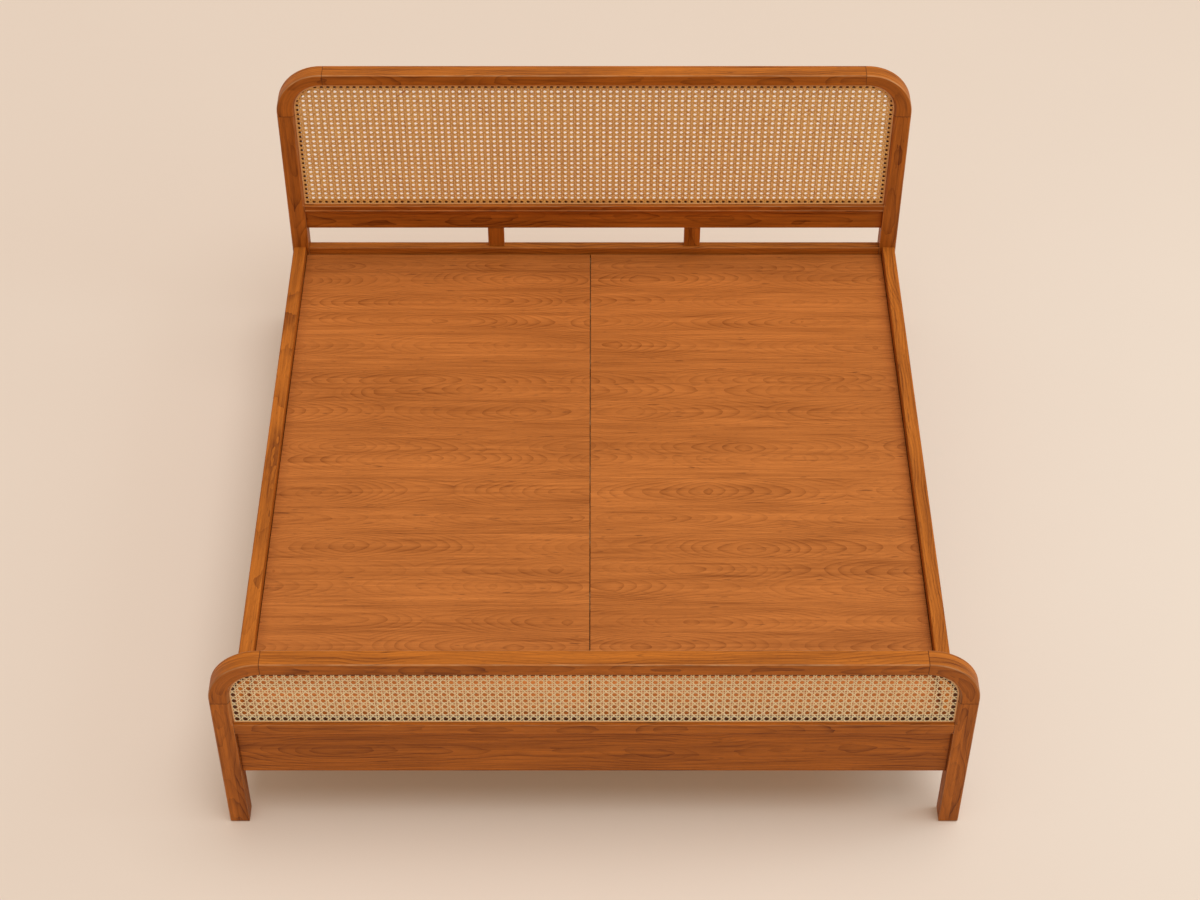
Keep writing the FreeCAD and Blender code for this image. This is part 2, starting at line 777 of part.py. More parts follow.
def leg_plates():
    """Steel plates between the centre legs and the beam."""
    half = LEG_PLATE_LENGTH / 2
    plates = [
        block(across(CENTRE_LEG_WIDTH / 2), (y - half, y + half), (CENTRE_LEG_TOP, RAIL_UNDERSIDE))
        for y in centre_leg_middles()
    ]
    holes = screws(plate_screw_places(), SCREW_SLACK)
    return grouped([plate.cut(holes) for plate in plates])


# Glides under the legs

def glide(x, y):
    """A pad under a leg, between two values of X and of Y, drawn in from the leg's faces."""
    inset_x = (x[0] + GLIDE_INSET, x[1] - GLIDE_INSET)
    inset_y = (y[0] + GLIDE_INSET, y[1] - GLIDE_INSET)
    return block(inset_x, inset_y, (0, GLIDE_THICKNESS))


def corner_glides():
    right = [
        glide((board.half - LEG_WIDTH, board.half), (board.front, board.front + board.depth))
        for board in (FOOT, HEAD)
    ]
    return grouped(right + [mirrored(pad) for pad in right])


def centre_glides():
    half = CENTRE_LEG_WIDTH / 2
    return grouped([glide(across(half), (y - half, y + half)) for y in centre_leg_middles()])


# Deck boards

def deck_board(x):
    y = (FOOT_BACK + DECK_CLEARANCE, HEAD_FRONT - DECK_CLEARANCE)
    return block(x, y, (DECK_UNDERSIDE, DECK_TOP))


def deck_boards():
    outer = WELL_HALF - DECK_CLEARANCE
    left = deck_board((-outer, DECK_SEAM_OFFSET - DECK_SEAM / 2))
    right = deck_board((DECK_SEAM_OFFSET + DECK_SEAM / 2, outer))
    return {"deck_board_left": left, "deck_board_right": right}


# The whole bed

def pair(name, right):
    """The same piece on both sides, each its own node."""
    return {name + "_right": right, name + "_left": mirrored(right)}


def curved_frame(name, board, mortises):
    """Legs, corners, top rail, dowels and cane panel of one board."""
    nodes = pair(name + "_leg", right_leg(board, mortises))
    nodes.update(pair(name + "_corner", right_corner(board)))
    nodes[name + "_top_rail"] = top_rail(board)
    nodes[name + "_dowels"] = grouped(dowels(board))
    nodes[name + "_cane_backing"] = cane_backing(board)
    nodes[name + "_cane"] = cane_sheet(board)
    nodes[name + "_cane_spline"] = spline_ring(board)
    return nodes


def bed():
    nodes = curved_frame("foot", FOOT, foot_mortises())
    nodes["foot_bead_rail"] = foot_bead_rail()
    nodes["foot_apron"] = foot_apron()
    nodes.update(curved_frame("head", HEAD, head_mortises()))
    nodes["head_bead_rail"] = head_bead_rail()
    nodes["head_lower_rail"] = head_lower_rail()
    nodes["head_cross_rail"] = head_cross_rail()
    nodes.update(pair("head_post", right_post()))
    nodes.update(pair("side_rail", right_side_rail()))
    nodes.update(pair("side_cleat", right_side_cleat()))
    nodes["foot_end_cleat"] = foot_end_cleat()
    nodes["head_end_cleat"] = head_end_cleat()
    nodes["cleat_screws"] = cleat_screws()
    for number, middle in enumerate(slat_middles(), 1):
        nodes["slat_%d" % number] = slat(middle)
    nodes["slat_screws"] = grouped(screws(slat_screw_places()))
    nodes["centre_beam"] = centre_beam()
    nodes["beam_hangers"] = hangers()
    nodes["hanger_screws"] = grouped(screws(foot_hanger_screw_places() + head_hanger_screw_places()))
    for number, middle in enumerate(centre_leg_middles(), 1):
        nodes["centre_leg_%d" % number] = centre_leg(middle)
    nodes["centre_leg_plates"] = leg_plates()
    nodes["centre_leg_screws"] = grouped(screws(plate_screw_places()))
    nodes["corner_glides"] = corner_glides()
    nodes["centre_glides"] = centre_glides()
    nodes["rail_bolts"] = grouped(bolts())
    nodes["rail_washers"] = grouped(washers())
    nodes["rail_nuts"] = grouped(nuts())
    nodes.update(deck_boards())
    return nodes


os.makedirs("parts", exist_ok=True)
for node, shape in bed().items():
    shape.exportStep("parts/" + node + ".step")
    print(node, len(shape.Solids), round(shape.Volume), shape.isValid())
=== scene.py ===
"""Dresses the packed cane bed: stained wood, woven cane, veneered deck, steel fittings and a plain studio."""

import math
from collections import namedtuple

import bmesh
import bpy
import numpy as np
from bpy.props import FloatProperty, FloatVectorProperty, PointerProperty
from bpy.types import Operator, Panel, PropertyGroup
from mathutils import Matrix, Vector


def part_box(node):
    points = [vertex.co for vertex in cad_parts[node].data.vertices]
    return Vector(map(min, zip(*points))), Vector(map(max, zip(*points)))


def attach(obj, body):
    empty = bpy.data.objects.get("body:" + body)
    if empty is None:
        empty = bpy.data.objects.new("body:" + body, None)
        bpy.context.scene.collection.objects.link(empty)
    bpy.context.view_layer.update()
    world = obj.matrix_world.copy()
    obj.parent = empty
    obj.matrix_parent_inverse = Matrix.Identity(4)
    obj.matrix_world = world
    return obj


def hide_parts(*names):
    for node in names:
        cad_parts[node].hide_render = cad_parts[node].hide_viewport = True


bl_info = {
    "name": "Cane Bed",
    "version": (1, 0, 0),
    "blender": (4, 5, 0),
    "location": "3D View > Sidebar > Cane Bed",
    "description": "Builds the shown pieces and finishes of a wooden bed with woven cane panels",
    "category": "Object",
}

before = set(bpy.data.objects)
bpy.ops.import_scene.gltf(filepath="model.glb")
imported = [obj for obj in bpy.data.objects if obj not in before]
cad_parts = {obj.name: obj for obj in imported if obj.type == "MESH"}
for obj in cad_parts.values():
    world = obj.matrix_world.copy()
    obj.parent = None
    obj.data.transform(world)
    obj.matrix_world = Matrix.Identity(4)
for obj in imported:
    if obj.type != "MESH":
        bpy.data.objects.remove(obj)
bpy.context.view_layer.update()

BED_BODY = "bed_frame"
SEED = 11


# Places that the packed frame gives, in metres

Board = namedtuple(
    "Board", "name half height front depth seam_x seam_z opening_half opening_top sill cane_front"
)


def board_from_frame(name):
    """Reads the outline of the footboard or headboard from the packed nodes."""
    leg_low, leg_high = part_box(name + "_leg_right")
    corner_low, corner_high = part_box(name + "_corner_right")
    ring_low, ring_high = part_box(name + "_cane_spline")
    return Board(
        name=name,
        half=leg_high.x,
        height=corner_high.z,
        front=leg_low.y,
        depth=leg_high.y - leg_low.y,
        seam_x=corner_low.x,
        seam_z=corner_low.z,
        opening_half=ring_high.x,
        opening_top=ring_high.z,
        sill=ring_low.z,
        cane_front=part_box(name + "_cane")[0].y,
    )


FOOT = board_from_frame("foot")
HEAD = board_from_frame("head")
CORNER_RADIUS = 0.150
OPENING_RADIUS = CORNER_RADIUS - (FOOT.half - FOOT.opening_half)


def paint(red, green, blue):
    """A colour as it is seen on a screen, 0 to 255, turned into the linear values that shaders take."""
    values = []
    for value in (red, green, blue):
        share = value / 255
        values.append(share / 12.92 if share <= 0.04045 else ((share + 0.055) / 1.055) ** 2.4)
    return (*values, 1.0)


def colour_property(name, description, colour):
    """A colour that is given as it is seen on a screen."""
    return FloatVectorProperty(
        name=name, description=description, subtype="COLOR", size=4, min=0.0, max=1.0, default=paint(*colour)
    )


def number_property(name, description, value, **limits):
    return FloatProperty(name=name, description=description, default=value, **limits)


def length_property(name, description, value):
    return number_property(name, description, value, min=0.0, unit="LENGTH", precision=4)


def share_property(name, description, value):
    return number_property(name, description + ", as a share of a cell", value, min=0.01, max=0.5)


def count_property(name, description, value):
    return number_property(name, description, value, min=2)


# What a user would change

class CaneBedWood(PropertyGroup):
    """Colours of the wood."""

    stain_pale: colour_property("Stain, pale", "Early wood of the stained rails and legs", (196, 109, 33))
    stain_dark: colour_property("Stain, dark", "Late wood lines of the stained rails and legs", (108, 49, 8))
    # Darker than the frame's stain, this colour paints the shade behind the cane that is seen through its
    # holes.
    backing: colour_property("Backing", "Dark stain of the frames behind the cane", (98, 50, 16))
    deck_pale: colour_property("Deck, pale", "Early wood of the deck's veneer", (206, 120, 54))
    deck_dark: colour_property("Deck, dark", "Late wood lines of the deck's veneer", (132, 66, 18))
    pore: colour_property("Pores", "Stain that has gathered in the pores and joints", (70, 30, 10))
    plain_pale: colour_property("Plain wood, pale", "Unstained slats and battens", (212, 176, 128))
    plain_dark: colour_property("Plain wood, dark", "Grain lines of the slats and battens", (176, 132, 84))


class CaneBedShape(PropertyGroup):
    """Sizes of the worked edges."""

    edge_radius: length_property("Edge radius", "Rounding of the frame's outer edges", 0.004)
    soft_edge: length_property("Eased edge", "Small rounding of the other edges", 0.0015)
    chamfer_width: length_property("Chamfer width", "Chamfer round the cane, seen from the front", 0.006)
    chamfer_depth: length_property("Chamfer depth", "Chamfer round the cane, from front to back", 0.011)
    joint_line: length_property("Joint line", "Depth of the groove at each glued seam", 0.0004)


class CaneBedWeave(PropertyGroup):
    """The woven cane."""

    foot_columns: count_property("Foot columns", "Cells across the footboard", 90)
    foot_rows: count_property("Foot rows", "Cells up the footboard", 8)
    head_columns: count_property("Head columns", "Cells across the headboard", 92)
    head_rows: count_property("Head rows", "Cells up the headboard", 27)
    foot_spread: share_property("Foot spread", "Half the spacing of a pair of strands of the footboard", 0.17)
    head_spread: share_property("Head spread", "Half the spacing of a pair of strands of the headboard", 0.15)
    foot_strand: share_property("Foot strand", "Width of a straight strand of the footboard", 0.085)
    foot_diagonal: share_property("Foot diagonal", "Width of a diagonal strand of the footboard", 0.135)
    head_strand: share_property("Head strand", "Width of a straight strand of the headboard", 0.18)
    head_diagonal: share_property("Head diagonal", "Width of a diagonal strand of the headboard", 0.235)
    strand_thickness: length_property("Strand thickness", "Thickness of a strand", 0.0010)
    # The two boards have one cane. The footboard's colours are painted paler, as lit, and the headboard's
    # darker, as shaded.
    foot_pale: colour_property("Foot cane, pale", "Shiny skin of the footboard's cane", (255, 238, 194))
    foot_dark: colour_property("Foot cane, dark", "Its darker strands and nodes", (252, 208, 144))
    head_pale: colour_property("Head cane, pale", "Shiny skin of the headboard's cane", (252, 194, 106))
    head_dark: colour_property("Head cane, dark", "Its darker strands and nodes", (192, 118, 48))
    reed: colour_property("Reed", "The spline round the cane", (244, 190, 128))


class CaneBedStudio(PropertyGroup):
    """Floor, light and camera."""

    floor: colour_property("Floor", "Colour of the floor", (233, 216, 202))
    backdrop: colour_property("Backdrop", "Colour beyond the floor, as the lit floor looks", (230, 207, 187))
    floor_glow: number_property("Floor glow", "Share of the floor that shows its colour unlit", 0.20)
    overhead: number_property("Overhead light", "Strength of the soft light overhead", 2.02)
    side_power: number_property("Side light", "Power of the lamp on the right", 66, unit="POWER")
    sky: number_property("Sky light", "Level light from all round", 0.40, min=0.0)
    camera_height: length_property("Camera height", "Height of the camera over the floor", 5.578)
    camera_back: length_property("Camera distance", "How far it stands before the footboard", 4.010)
    camera_down: number_property(
        "Camera tilt", "How far the camera looks down", math.radians(45.37), subtype="ANGLE"
    )
    lens: number_property("Lens", "Focal length on a 36 mm sensor", 71.04, min=1.0)


# Shader nodes

NODE_SPACING = (220, -260)
NODES_IN_ROW = 9


class Wiring:
    """Adds nodes to one shader tree. Most methods give back the socket that comes out."""

    def __init__(self, tree):
        self.tree = tree

    def feed(self, socket, value):
        if isinstance(value, bpy.types.NodeSocket):
            self.tree.links.new(value, socket)
        else:
            socket.default_value = value

    def node(self, kind, inputs=None, **settings):
        """A new node, with its inputs fed by name or number."""
        made = self.tree.nodes.new(kind)
        for name, value in settings.items():
            setattr(made, name, value)
        for name, value in (inputs or {}).items():
            self.feed(made.inputs[name], value)
        down, along = divmod(len(self.tree.nodes), NODES_IN_ROW)
        made.location = (NODE_SPACING[0] * along, NODE_SPACING[1] * down)
        return made

    def math(self, operation, first, second=0.0, clamp=False):
        inputs = {0: first, 1: second}
        return self.node("ShaderNodeMath", inputs, operation=operation, use_clamp=clamp).outputs[0]

    def add(self, first, second):
        return self.math("ADD", first, second)

    def times(self, first, second):
        return self.math("MULTIPLY", first, second)

    def split(self, vector):
        return tuple(self.node("ShaderNodeSeparateXYZ", {0: vector}).outputs)

    def vector(self, *axes):
        return self.node("ShaderNodeCombineXYZ", dict(enumerate(axes))).outputs[0]

    def stretch(self, vector, scale):
        return self.node("ShaderNodeVectorMath", {0: vector, 1: scale}, operation="MULTIPLY").outputs[0]

    def noise(self, vector, scale=1.0, detail=2.0, roughness=0.5):
        inputs = {"Vector": vector, "Scale": scale, "Detail": detail, "Roughness": roughness}
        return self.node("ShaderNodeTexNoise", inputs).outputs["Fac"]

    def grain_noise(self, grain, along, across, detail=2.0, roughness=0.5):
        """Noise drawn out along the grain, with its scale along and across it."""
        return self.noise(self.stretch(grain, (along, across, across)), 1.0, detail, roughness)

    def noise_on_line(self, place, scale=1.0, detail=1.0):
        inputs = {"W": place, "Scale": scale, "Detail": detail}
        return self.node("ShaderNodeTexNoise", inputs, noise_dimensions="1D").outputs["Fac"]

    def ramp(self, value, low, high, to_low=0.0, to_high=1.0):
        inputs = {"Value": value, "From Min": low, "From Max": high, "To Min": to_low, "To Max": to_high}
        return self.node("ShaderNodeMapRange", inputs, interpolation_type="SMOOTHSTEP").outputs["Result"]

    def mix(self, share, first, second, blend="MIX"):
        inputs = {"Factor": share, 6: first, 7: second}
        return self.node("ShaderNodeMix", inputs, data_type="RGBA", blend_type=blend).outputs[2]

    def attribute(self, name, output="Fac"):
        return self.node("ShaderNodeAttribute", attribute_name=name).outputs[output]

    def grain(self):
        return self.attribute("grain", "Vector")

    def object_place(self):
        return self.node("ShaderNodeTexCoord").outputs["Object"]

    def group(self, tree, inputs):
        """The outputs of a shader node group."""
        return self.node("ShaderNodeGroup", inputs, node_tree=tree).outputs


def new_group(name, colours, numbers, outputs):
    """A shader node group that takes grain, colours and numbers, with its wiring and both ends' sockets."""
    tree = bpy.data.node_groups.new(name, "ShaderNodeTree")
    inputs = [("Grain", "Vector")] + [(socket, "Color") for socket in colours]
    for socket, kind in inputs + [(socket, "Float") for socket in numbers]:
        made = tree.interface.new_socket(socket, in_out="INPUT", socket_type="NodeSocket" + kind)
        if socket in numbers:
            made.default_value = numbers[socket]
    for socket, kind in outputs.items():
        tree.interface.new_socket(socket, in_out="OUTPUT", socket_type="NodeSocket" + kind)
    wiring = Wiring(tree)
    return tree, wiring, wiring.node("NodeGroupInput").outputs, wiring.node("NodeGroupOutput").inputs


LEAST_PITH_DEPTH = 0.007


def wood_figure_group():
    """Growth rings round a pith that wanders below the face, with fibres, bands and pores.
    Grain is (along, across, deep) in metres."""
    tree, w, given, out = new_group(
        "Wood figure",
        ("Pale", "Dark", "Pore"),
        {
            "Ring Width": 0.009,
            "Pith Depth": 0.045,
            "Pith Drift": 0.13,
            "Sideways Drift": 0.06,
            "Ripple": 0.013,
            "Ring Strength": 0.62,
            "Band Strength": 0.75,
        },
        {"Color": "Color", "Roughness": "Float", "Height": "Float"},
    )
    grain = given["Grain"]
    along, across, deep = w.split(grain)
    wander = w.add(w.grain_noise(grain, 2.1, 1.4, 1.0), -0.5)
    sideways = w.add(w.noise_on_line(w.add(along, 31.7), scale=1.3), -0.5)
    ripple = w.add(w.grain_noise(grain, 9.0, 26.0), -0.5)
    drifted = w.add(w.add(deep, given["Pith Depth"]), w.times(wander, given["Pith Drift"]))
    pith_deep = w.math("MAXIMUM", drifted, LEAST_PITH_DEPTH)
    pith_side = w.add(across, w.times(sideways, given["Sideways Drift"]))
    squares = w.add(w.times(pith_deep, pith_deep), w.times(pith_side, pith_side))
    radius = w.add(w.math("SQRT", squares), w.times(ripple, given["Ripple"]))
    phase = w.math("DIVIDE", radius, given["Ring Width"])
    late = w.math("POWER", w.math("FRACT", phase), 3.0)
    ring_dark = w.ramp(w.noise_on_line(phase, scale=0.61), 0.3, 0.6, 0.4, 1.0)
    patch = w.ramp(w.grain_noise(grain, 2.6, 14.0, 1.0), 0.36, 0.60, 0.4, 1.0)
    line = w.times(w.times(late, ring_dark), patch)
    fibre = w.grain_noise(grain, 6.0, 300.0, 3.0, 0.65)
    streak = w.grain_noise(grain, 3.4, 105.0, 3.0, 0.6)
    band = w.grain_noise(grain, 1.5, 34.0, 3.0)
    cloud = w.grain_noise(grain, 1.6, 5.0, 1.0)
    pore = w.ramp(w.grain_noise(grain, 42.0, 620.0, 1.0), 0.60, 0.74)
    fleck = w.ramp(w.grain_noise(grain, 16.0, 120.0), 0.66, 0.76)
    dark_streak = w.ramp(streak, 0.58, 0.74)
    rings = w.times(w.add(line, -0.10), given["Ring Strength"])
    bands = w.add(w.times(w.add(band, -0.5), 1.3), w.times(w.add(cloud, -0.5), 0.6))
    streaks = w.add(w.times(w.add(streak, -0.5), 1.5), w.times(dark_streak, 0.25))
    grain_tone = w.times(w.add(bands, streaks), given["Band Strength"])
    tone = w.add(w.add(rings, grain_tone), w.times(w.add(fibre, -0.5), 0.8))
    share = w.math("ADD", tone, 0.34, clamp=True)
    wood = w.mix(share, given["Pale"], given["Dark"])
    marks = w.math("MAXIMUM", w.times(pore, 0.32), w.times(fleck, 0.55))
    w.feed(out["Color"], w.mix(marks, wood, given["Pore"]))
    w.feed(out["Roughness"], w.add(w.add(w.times(fibre, 0.16), w.times(pore, 0.12)), 0.42))
    w.feed(out["Height"], w.add(w.times(fibre, 0.5), w.add(w.times(pore, -0.6), w.times(line, -0.25))))
    return tree


# Colour screened over the rounded edges: partly handling, partly a painted highlight.
WORN_AND_HIGHLIT_WOOD = (1.0, 0.72, 0.42, 1.0)


def edge_and_joint_marks_group():
    """Rounded edges turn paler, partly from handling and partly as a painted highlight along them. Stain
    gathers dark in the seams, and the same darkening paints shade on the deck beside the rails and at the
    apron's ends.
    """
    numbers = {"Edge": 0.0, "Joint": 0.0, "Wear": 0.45}
    tree, w, given, out = new_group("Worked edges", ("Color", "Pore"), numbers, {"Color": "Color"})
    patches = w.ramp(w.grain_noise(given["Grain"], 14.0, 60.0, 3.0), 0.35, 0.75, 0.3, 1.0)
    worn_and_highlit = w.mix(0.5, given["Color"], WORN_AND_HIGHLIT_WOOD, "SCREEN")
    edge = w.mix(w.times(w.times(given["Edge"], given["Wear"]), patches), given["Color"], worn_and_highlit)
    w.feed(out["Color"], w.mix(w.times(given["Joint"], 0.8), edge, given["Pore"]))
    return tree


def new_material(name):
    """An empty material with a Principled BSDF, its wiring and the shader's inputs."""
    material = bpy.data.materials.new(name)
    material.use_nodes = True
    tree = material.node_tree
    shader = tree.nodes["Principled BSDF"]
    return material, Wiring(tree), shader.inputs


def bump(w, shader, height, distance):
    made = w.node("ShaderNodeBump", {"Distance": distance, "Height": height})
    w.feed(shader["Normal"], made.outputs[0])


def dimmed(colour, shares):
    """A colour with each channel turned down to a share of it."""
    return (*(channel * share for channel, share in zip(colour, shares)), 1.0)


def object_grain(w, order):
    """Grain for a packed node, from its own coordinates in the given order of axes."""
    axes = w.split(w.object_place())
    return w.vector(*(axes["xyz".index(axis)] for axis in order))


OILED_GLOSS = 0.14
WOOD_RELIEF = 0.0004
VENEER_RELIEF = 0.0003
LEAVES_PER_METRE = 9.5


def finish_wood(w, shader, groups, figure, colour, pore, grain, joint, relief):
    """Paler edges from handling and a painted highlight, dark seams and painted shade over the figure, and
    the gloss of oiled wood.
    """
    edge = w.attribute("edge")
    inputs = {"Color": colour, "Pore": pore, "Grain": grain, "Edge": edge, "Joint": joint}
    w.feed(shader["Base Color"], w.group(groups["edges"], inputs)["Color"])
    w.feed(shader["Roughness"], figure["Roughness"])
    shader["Specular IOR Level"].default_value = OILED_GLOSS
    bump(w, shader, figure["Height"], relief)


def wood_material(name, groups, pale, dark, pore, order=None):
    """Wood whose grain follows the piece's own grain attribute, or the axes of a packed node."""
    material, w, shader = new_material(name)
    grain = object_grain(w, order) if order else w.grain()
    figure = w.group(groups["figure"], {"Grain": grain, "Pale": pale, "Dark": dark, "Pore": pore})
    joint = w.attribute("joint")
    finish_wood(w, shader, groups, figure, figure["Color"], pore, grain, joint, WOOD_RELIEF)
    return material


def veneer_material(groups, wood):
    """Leaves of veneer laid side by side across the bed, each with its own figure."""
    material, w, shader = new_material("Deck veneer")
    dark, pore = tuple(wood.deck_dark), tuple(wood.pore)
    along, across, deep = w.split(w.grain())
    inputs = {"W": across, "Scale": LEAVES_PER_METRE, "Randomness": 0.6}
    leaves, edges = (
        w.node("ShaderNodeTexVoronoi", inputs, voronoi_dimensions="1D", feature=feature).outputs
        for feature in ("F1", "DISTANCE_TO_EDGE")
    )
    chance, second, third = w.split(leaves["Color"])
    from_middle = w.math("SUBTRACT", across, leaves["W"])
    off_middle = w.add(from_middle, w.times(w.add(second, -0.5), 0.05))
    # The saw leaves the pith at a slant and comes back to it, which draws nested arrows
    slant = w.math("PINGPONG", w.add(along, w.times(chance, 7.3)), 0.42)
    pith = w.add(w.times(slant, 0.10), w.add(w.times(third, 0.02), 0.006))
    grain = w.vector(w.add(along, w.times(chance, 40.0)), off_middle, w.add(deep, w.times(third, 0.02)))
    figure = w.group(
        groups["figure"],
        {
            "Grain": grain,
            "Pale": tuple(wood.deck_pale),
            "Dark": dark,
            "Pore": pore,
            "Ring Width": 0.0048,
            "Pith Depth": pith,
            "Pith Drift": 0.04,
            "Sideways Drift": 0.03,
            "Ripple": 0.0035,
            "Ring Strength": 0.50,
            "Band Strength": 0.58,
        },
    )
    tint = w.mix(w.times(second, 0.22), figure["Color"], dark)
    seam = w.ramp(edges["Distance"], 0.0, 0.012, 1.0, 0.0)
    gaps = w.ramp(w.noise_on_line(w.add(along, third), scale=2.0), 0.45, 0.6, 0.1, 0.55)
    # Dark leaf seams, with the painted shade that the deck boards carry beside the rails.
    joint = w.math("MAXIMUM", w.times(seam, gaps), w.attribute("joint"))
    finish_wood(w, shader, groups, figure, tint, pore, grain, joint, VENEER_RELIEF)
    return material


def cane_material(name, pale, dark):
    """Split cane: a shiny skin with long streaks, darker nodes and strands of different tone."""
    material, w, shader = new_material(name)
    grain = w.grain()
    streak = w.noise(w.stretch(grain, (22.0, 2600.0, 1.0)), detail=3.0)
    node = w.ramp(w.noise(w.stretch(grain, (9.0, 40.0, 1.0)), detail=1.0), 0.62, 0.78)
    marks = w.add(w.times(streak, 0.5), w.times(node, 0.5))
    share = w.math("ADD", marks, w.add(w.times(w.attribute("tone"), 0.5), -0.2), clamp=True)
    w.feed(shader["Base Color"], w.mix(share, pale, dark))
    w.feed(shader["Roughness"], w.ramp(streak, 0.3, 0.7, 0.34, 0.52))
    bump(w, shader, streak, 0.0002)
    return material


def steel_material(name, colour, metallic, roughness, scratch):
    """Plated or painted steel with fine uneven scratches."""
    material, w, shader = new_material(name)
    place = w.object_place()
    lines = w.noise(w.stretch(place, (900.0, 900.0, 60.0)))
    cloud = w.grain_noise(place, 90.0, 90.0, 3.0)
    w.feed(shader["Base Color"], w.mix(cloud, dimmed(colour, (0.7, 0.7, 0.7)), colour))
    w.feed(shader["Roughness"], w.add(w.times(lines, scratch), roughness))
    shader["Metallic"].default_value = metallic
    bump(w, shader, lines, 0.0001)
    return material


def pad_material():
    """Dark moulded pads with a fine pebbled face."""
    material, w, shader = new_material("Glide pads")
    grit = w.noise(w.object_place(), scale=1400.0)
    w.feed(shader["Base Color"], w.mix(grit, (0.012, 0.010, 0.009, 1.0), (0.040, 0.034, 0.030, 1.0)))
    w.feed(shader["Roughness"], w.ramp(grit, 0.3, 0.7, 0.62, 0.8))
    bump(w, shader, grit, 0.0002)
    return material


def seen_directly(w):
    """1 for the camera's rays and for what gloss and glass show, 0 for the light itself."""
    rays = w.node("ShaderNodeLightPath").outputs
    seen = w.math("MAXIMUM", rays["Is Camera Ray"], rays["Is Glossy Ray"])
    return w.math("MAXIMUM", seen, rays["Is Transmission Ray"])


MOTTLE = (0.965, 0.965, 0.965)
# The unlit share is tinted warmer than the floor, which paints the floor's shadows a warm brown.
GLOW_TINT = (0.90, 0.66, 0.42)


def floor_material(studio):
    """Pale matt floor with faint mottling. A share of it shows its colour unlit, to open the shadow."""
    material, w, shader = new_material("Floor")
    colour = tuple(studio.floor)
    mottle = w.noise(w.object_place(), scale=1.1, detail=5.0, roughness=0.6)
    w.feed(shader["Base Color"], w.mix(mottle, dimmed(colour, MOTTLE), colour))
    w.feed(shader["Roughness"], w.ramp(mottle, 0.3, 0.7, 0.7, 0.85))
    shader["Specular IOR Level"].default_value = 0.2
    glow = w.node("ShaderNodeEmission", {"Color": dimmed(colour, GLOW_TINT)}).outputs[0]
    nodes = material.node_tree.nodes
    share = w.times(seen_directly(w), studio.floor_glow)
    both = w.node("ShaderNodeMixShader", {0: share, 1: nodes["Principled BSDF"].outputs[0], 2: glow})
    w.feed(nodes["Material Output"].inputs["Surface"], both.outputs[0])
    return material


MATERIALS = {}


def material_called(key):
    """Builds the bed's materials the first time that one is asked for."""
    if not MATERIALS:
        wood, weave = bpy.context.scene.cane_bed_wood, bpy.context.scene.cane_bed_weave
        groups = {"figure": wood_figure_group(), "edges": edge_and_joint_marks_group()}
        pore = tuple(wood.pore)
        stain = (tuple(wood.stain_pale), tuple(wood.stain_dark), pore)
        backing = (tuple(wood.backing), pore, pore)
        plain = (tuple(wood.plain_pale), tuple(wood.plain_dark), pore)
        for made, name, colours, order in (
            ("stained", "Stained wood", stain, None),
            ("stained_along_bed", "Stained wood along the bed", stain, "yzx"),
            ("backing", "Dark stained backing", backing, "xzy"),
            ("plain_across_bed", "Plain wood across the bed", plain, "xyz"),
            ("plain_along_bed", "Plain wood along the bed", plain, "yxz"),
            ("plain_upright", "Plain wood upright", plain, "zxy"),
        ):
            MATERIALS[made] = wood_material(name, groups, *colours, order)
        MATERIALS["veneer"] = veneer_material(groups, wood)
        # Lit and shaded copies of one cane: the footboard's is painted paler and the headboard's darker.
        for made, name, pale, dark in (
            ("foot_cane", "Footboard cane", weave.foot_pale, weave.foot_dark),
            ("head_cane", "Headboard cane", weave.head_pale, weave.head_dark),
            ("reed", "Reed", weave.reed, weave.head_dark),
        ):
            MATERIALS[made] = cane_material(name, tuple(pale), tuple(dark))
        zinc, black = (0.62, 0.63, 0.64, 1.0), (0.022, 0.022, 0.024, 1.0)
        MATERIALS["zinc"] = steel_material("Zinc plated steel", zinc, 1.0, 0.28, 0.2)
        MATERIALS["black"] = steel_material("Black painted steel", black, 0.0, 0.42, 0.15)
        MATERIALS["pad"] = pad_material()
    return MATERIALS[key]


# Meshes

SHARP_ANGLE = math.radians(35)


def grid_faces(rows, columns, closed_rows=False, closed_columns=False, first=0):
    """Four-sided faces between neighbours in rows of points, which may close round on themselves."""
    corner = first + np.arange(rows * columns).reshape(rows, columns)
    beside, beyond = np.roll(corner, -1, axis=1), np.roll(corner, -1, axis=0)
    faces = np.stack([corner, beside, np.roll(beside, -1, axis=0), beyond], axis=-1)
    faces = faces[: rows if closed_rows else rows - 1, : columns if closed_columns else columns - 1]
    return faces.reshape(-1, 4).tolist()


def add_piece(name, points, faces, attributes, material, slot, replaced, body=BED_BODY):
    """Makes a piece from points in metres, gives it its finish and puts it on its body."""
    mesh = bpy.data.meshes.new(name)
    mesh.from_pydata(np.asarray(points).tolist(), [], faces)
    for attribute, values in attributes.items():
        values = np.asarray(values, np.float32)
        kind, field = ("FLOAT_VECTOR", "vector") if values.ndim == 2 else ("FLOAT", "value")
        mesh.attributes.new(attribute, kind, "POINT").data.foreach_set(field, values.ravel())
    work = bmesh.new()
    work.from_mesh(mesh)
    bmesh.ops.recalc_face_normals(work, faces=work.faces)
    work.to_mesh(mesh)
    work.free()
    mesh.shade_smooth()
    mesh.set_sharp_from_angle(angle=SHARP_ANGLE)
    mesh.materials.append(material)
    piece = bpy.data.objects.new(name, mesh)
    bpy.context.scene.collection.objects.link(piece)
    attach(piece, body)
    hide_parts(*replaced)
    return piece


def add_wood(node, built, material="stained", slot="stained_wood", ending="_wood", body=BED_BODY):
    """A wooden piece. Its broad faces stay flat in the shading, and only the small roundings turn."""
    piece = add_piece(node + ending, *built, material_called(material), slot, [node], body)
    weighted = piece.modifiers.new("Even shading", "WEIGHTED_NORMAL")
    weighted.keep_sharp = True


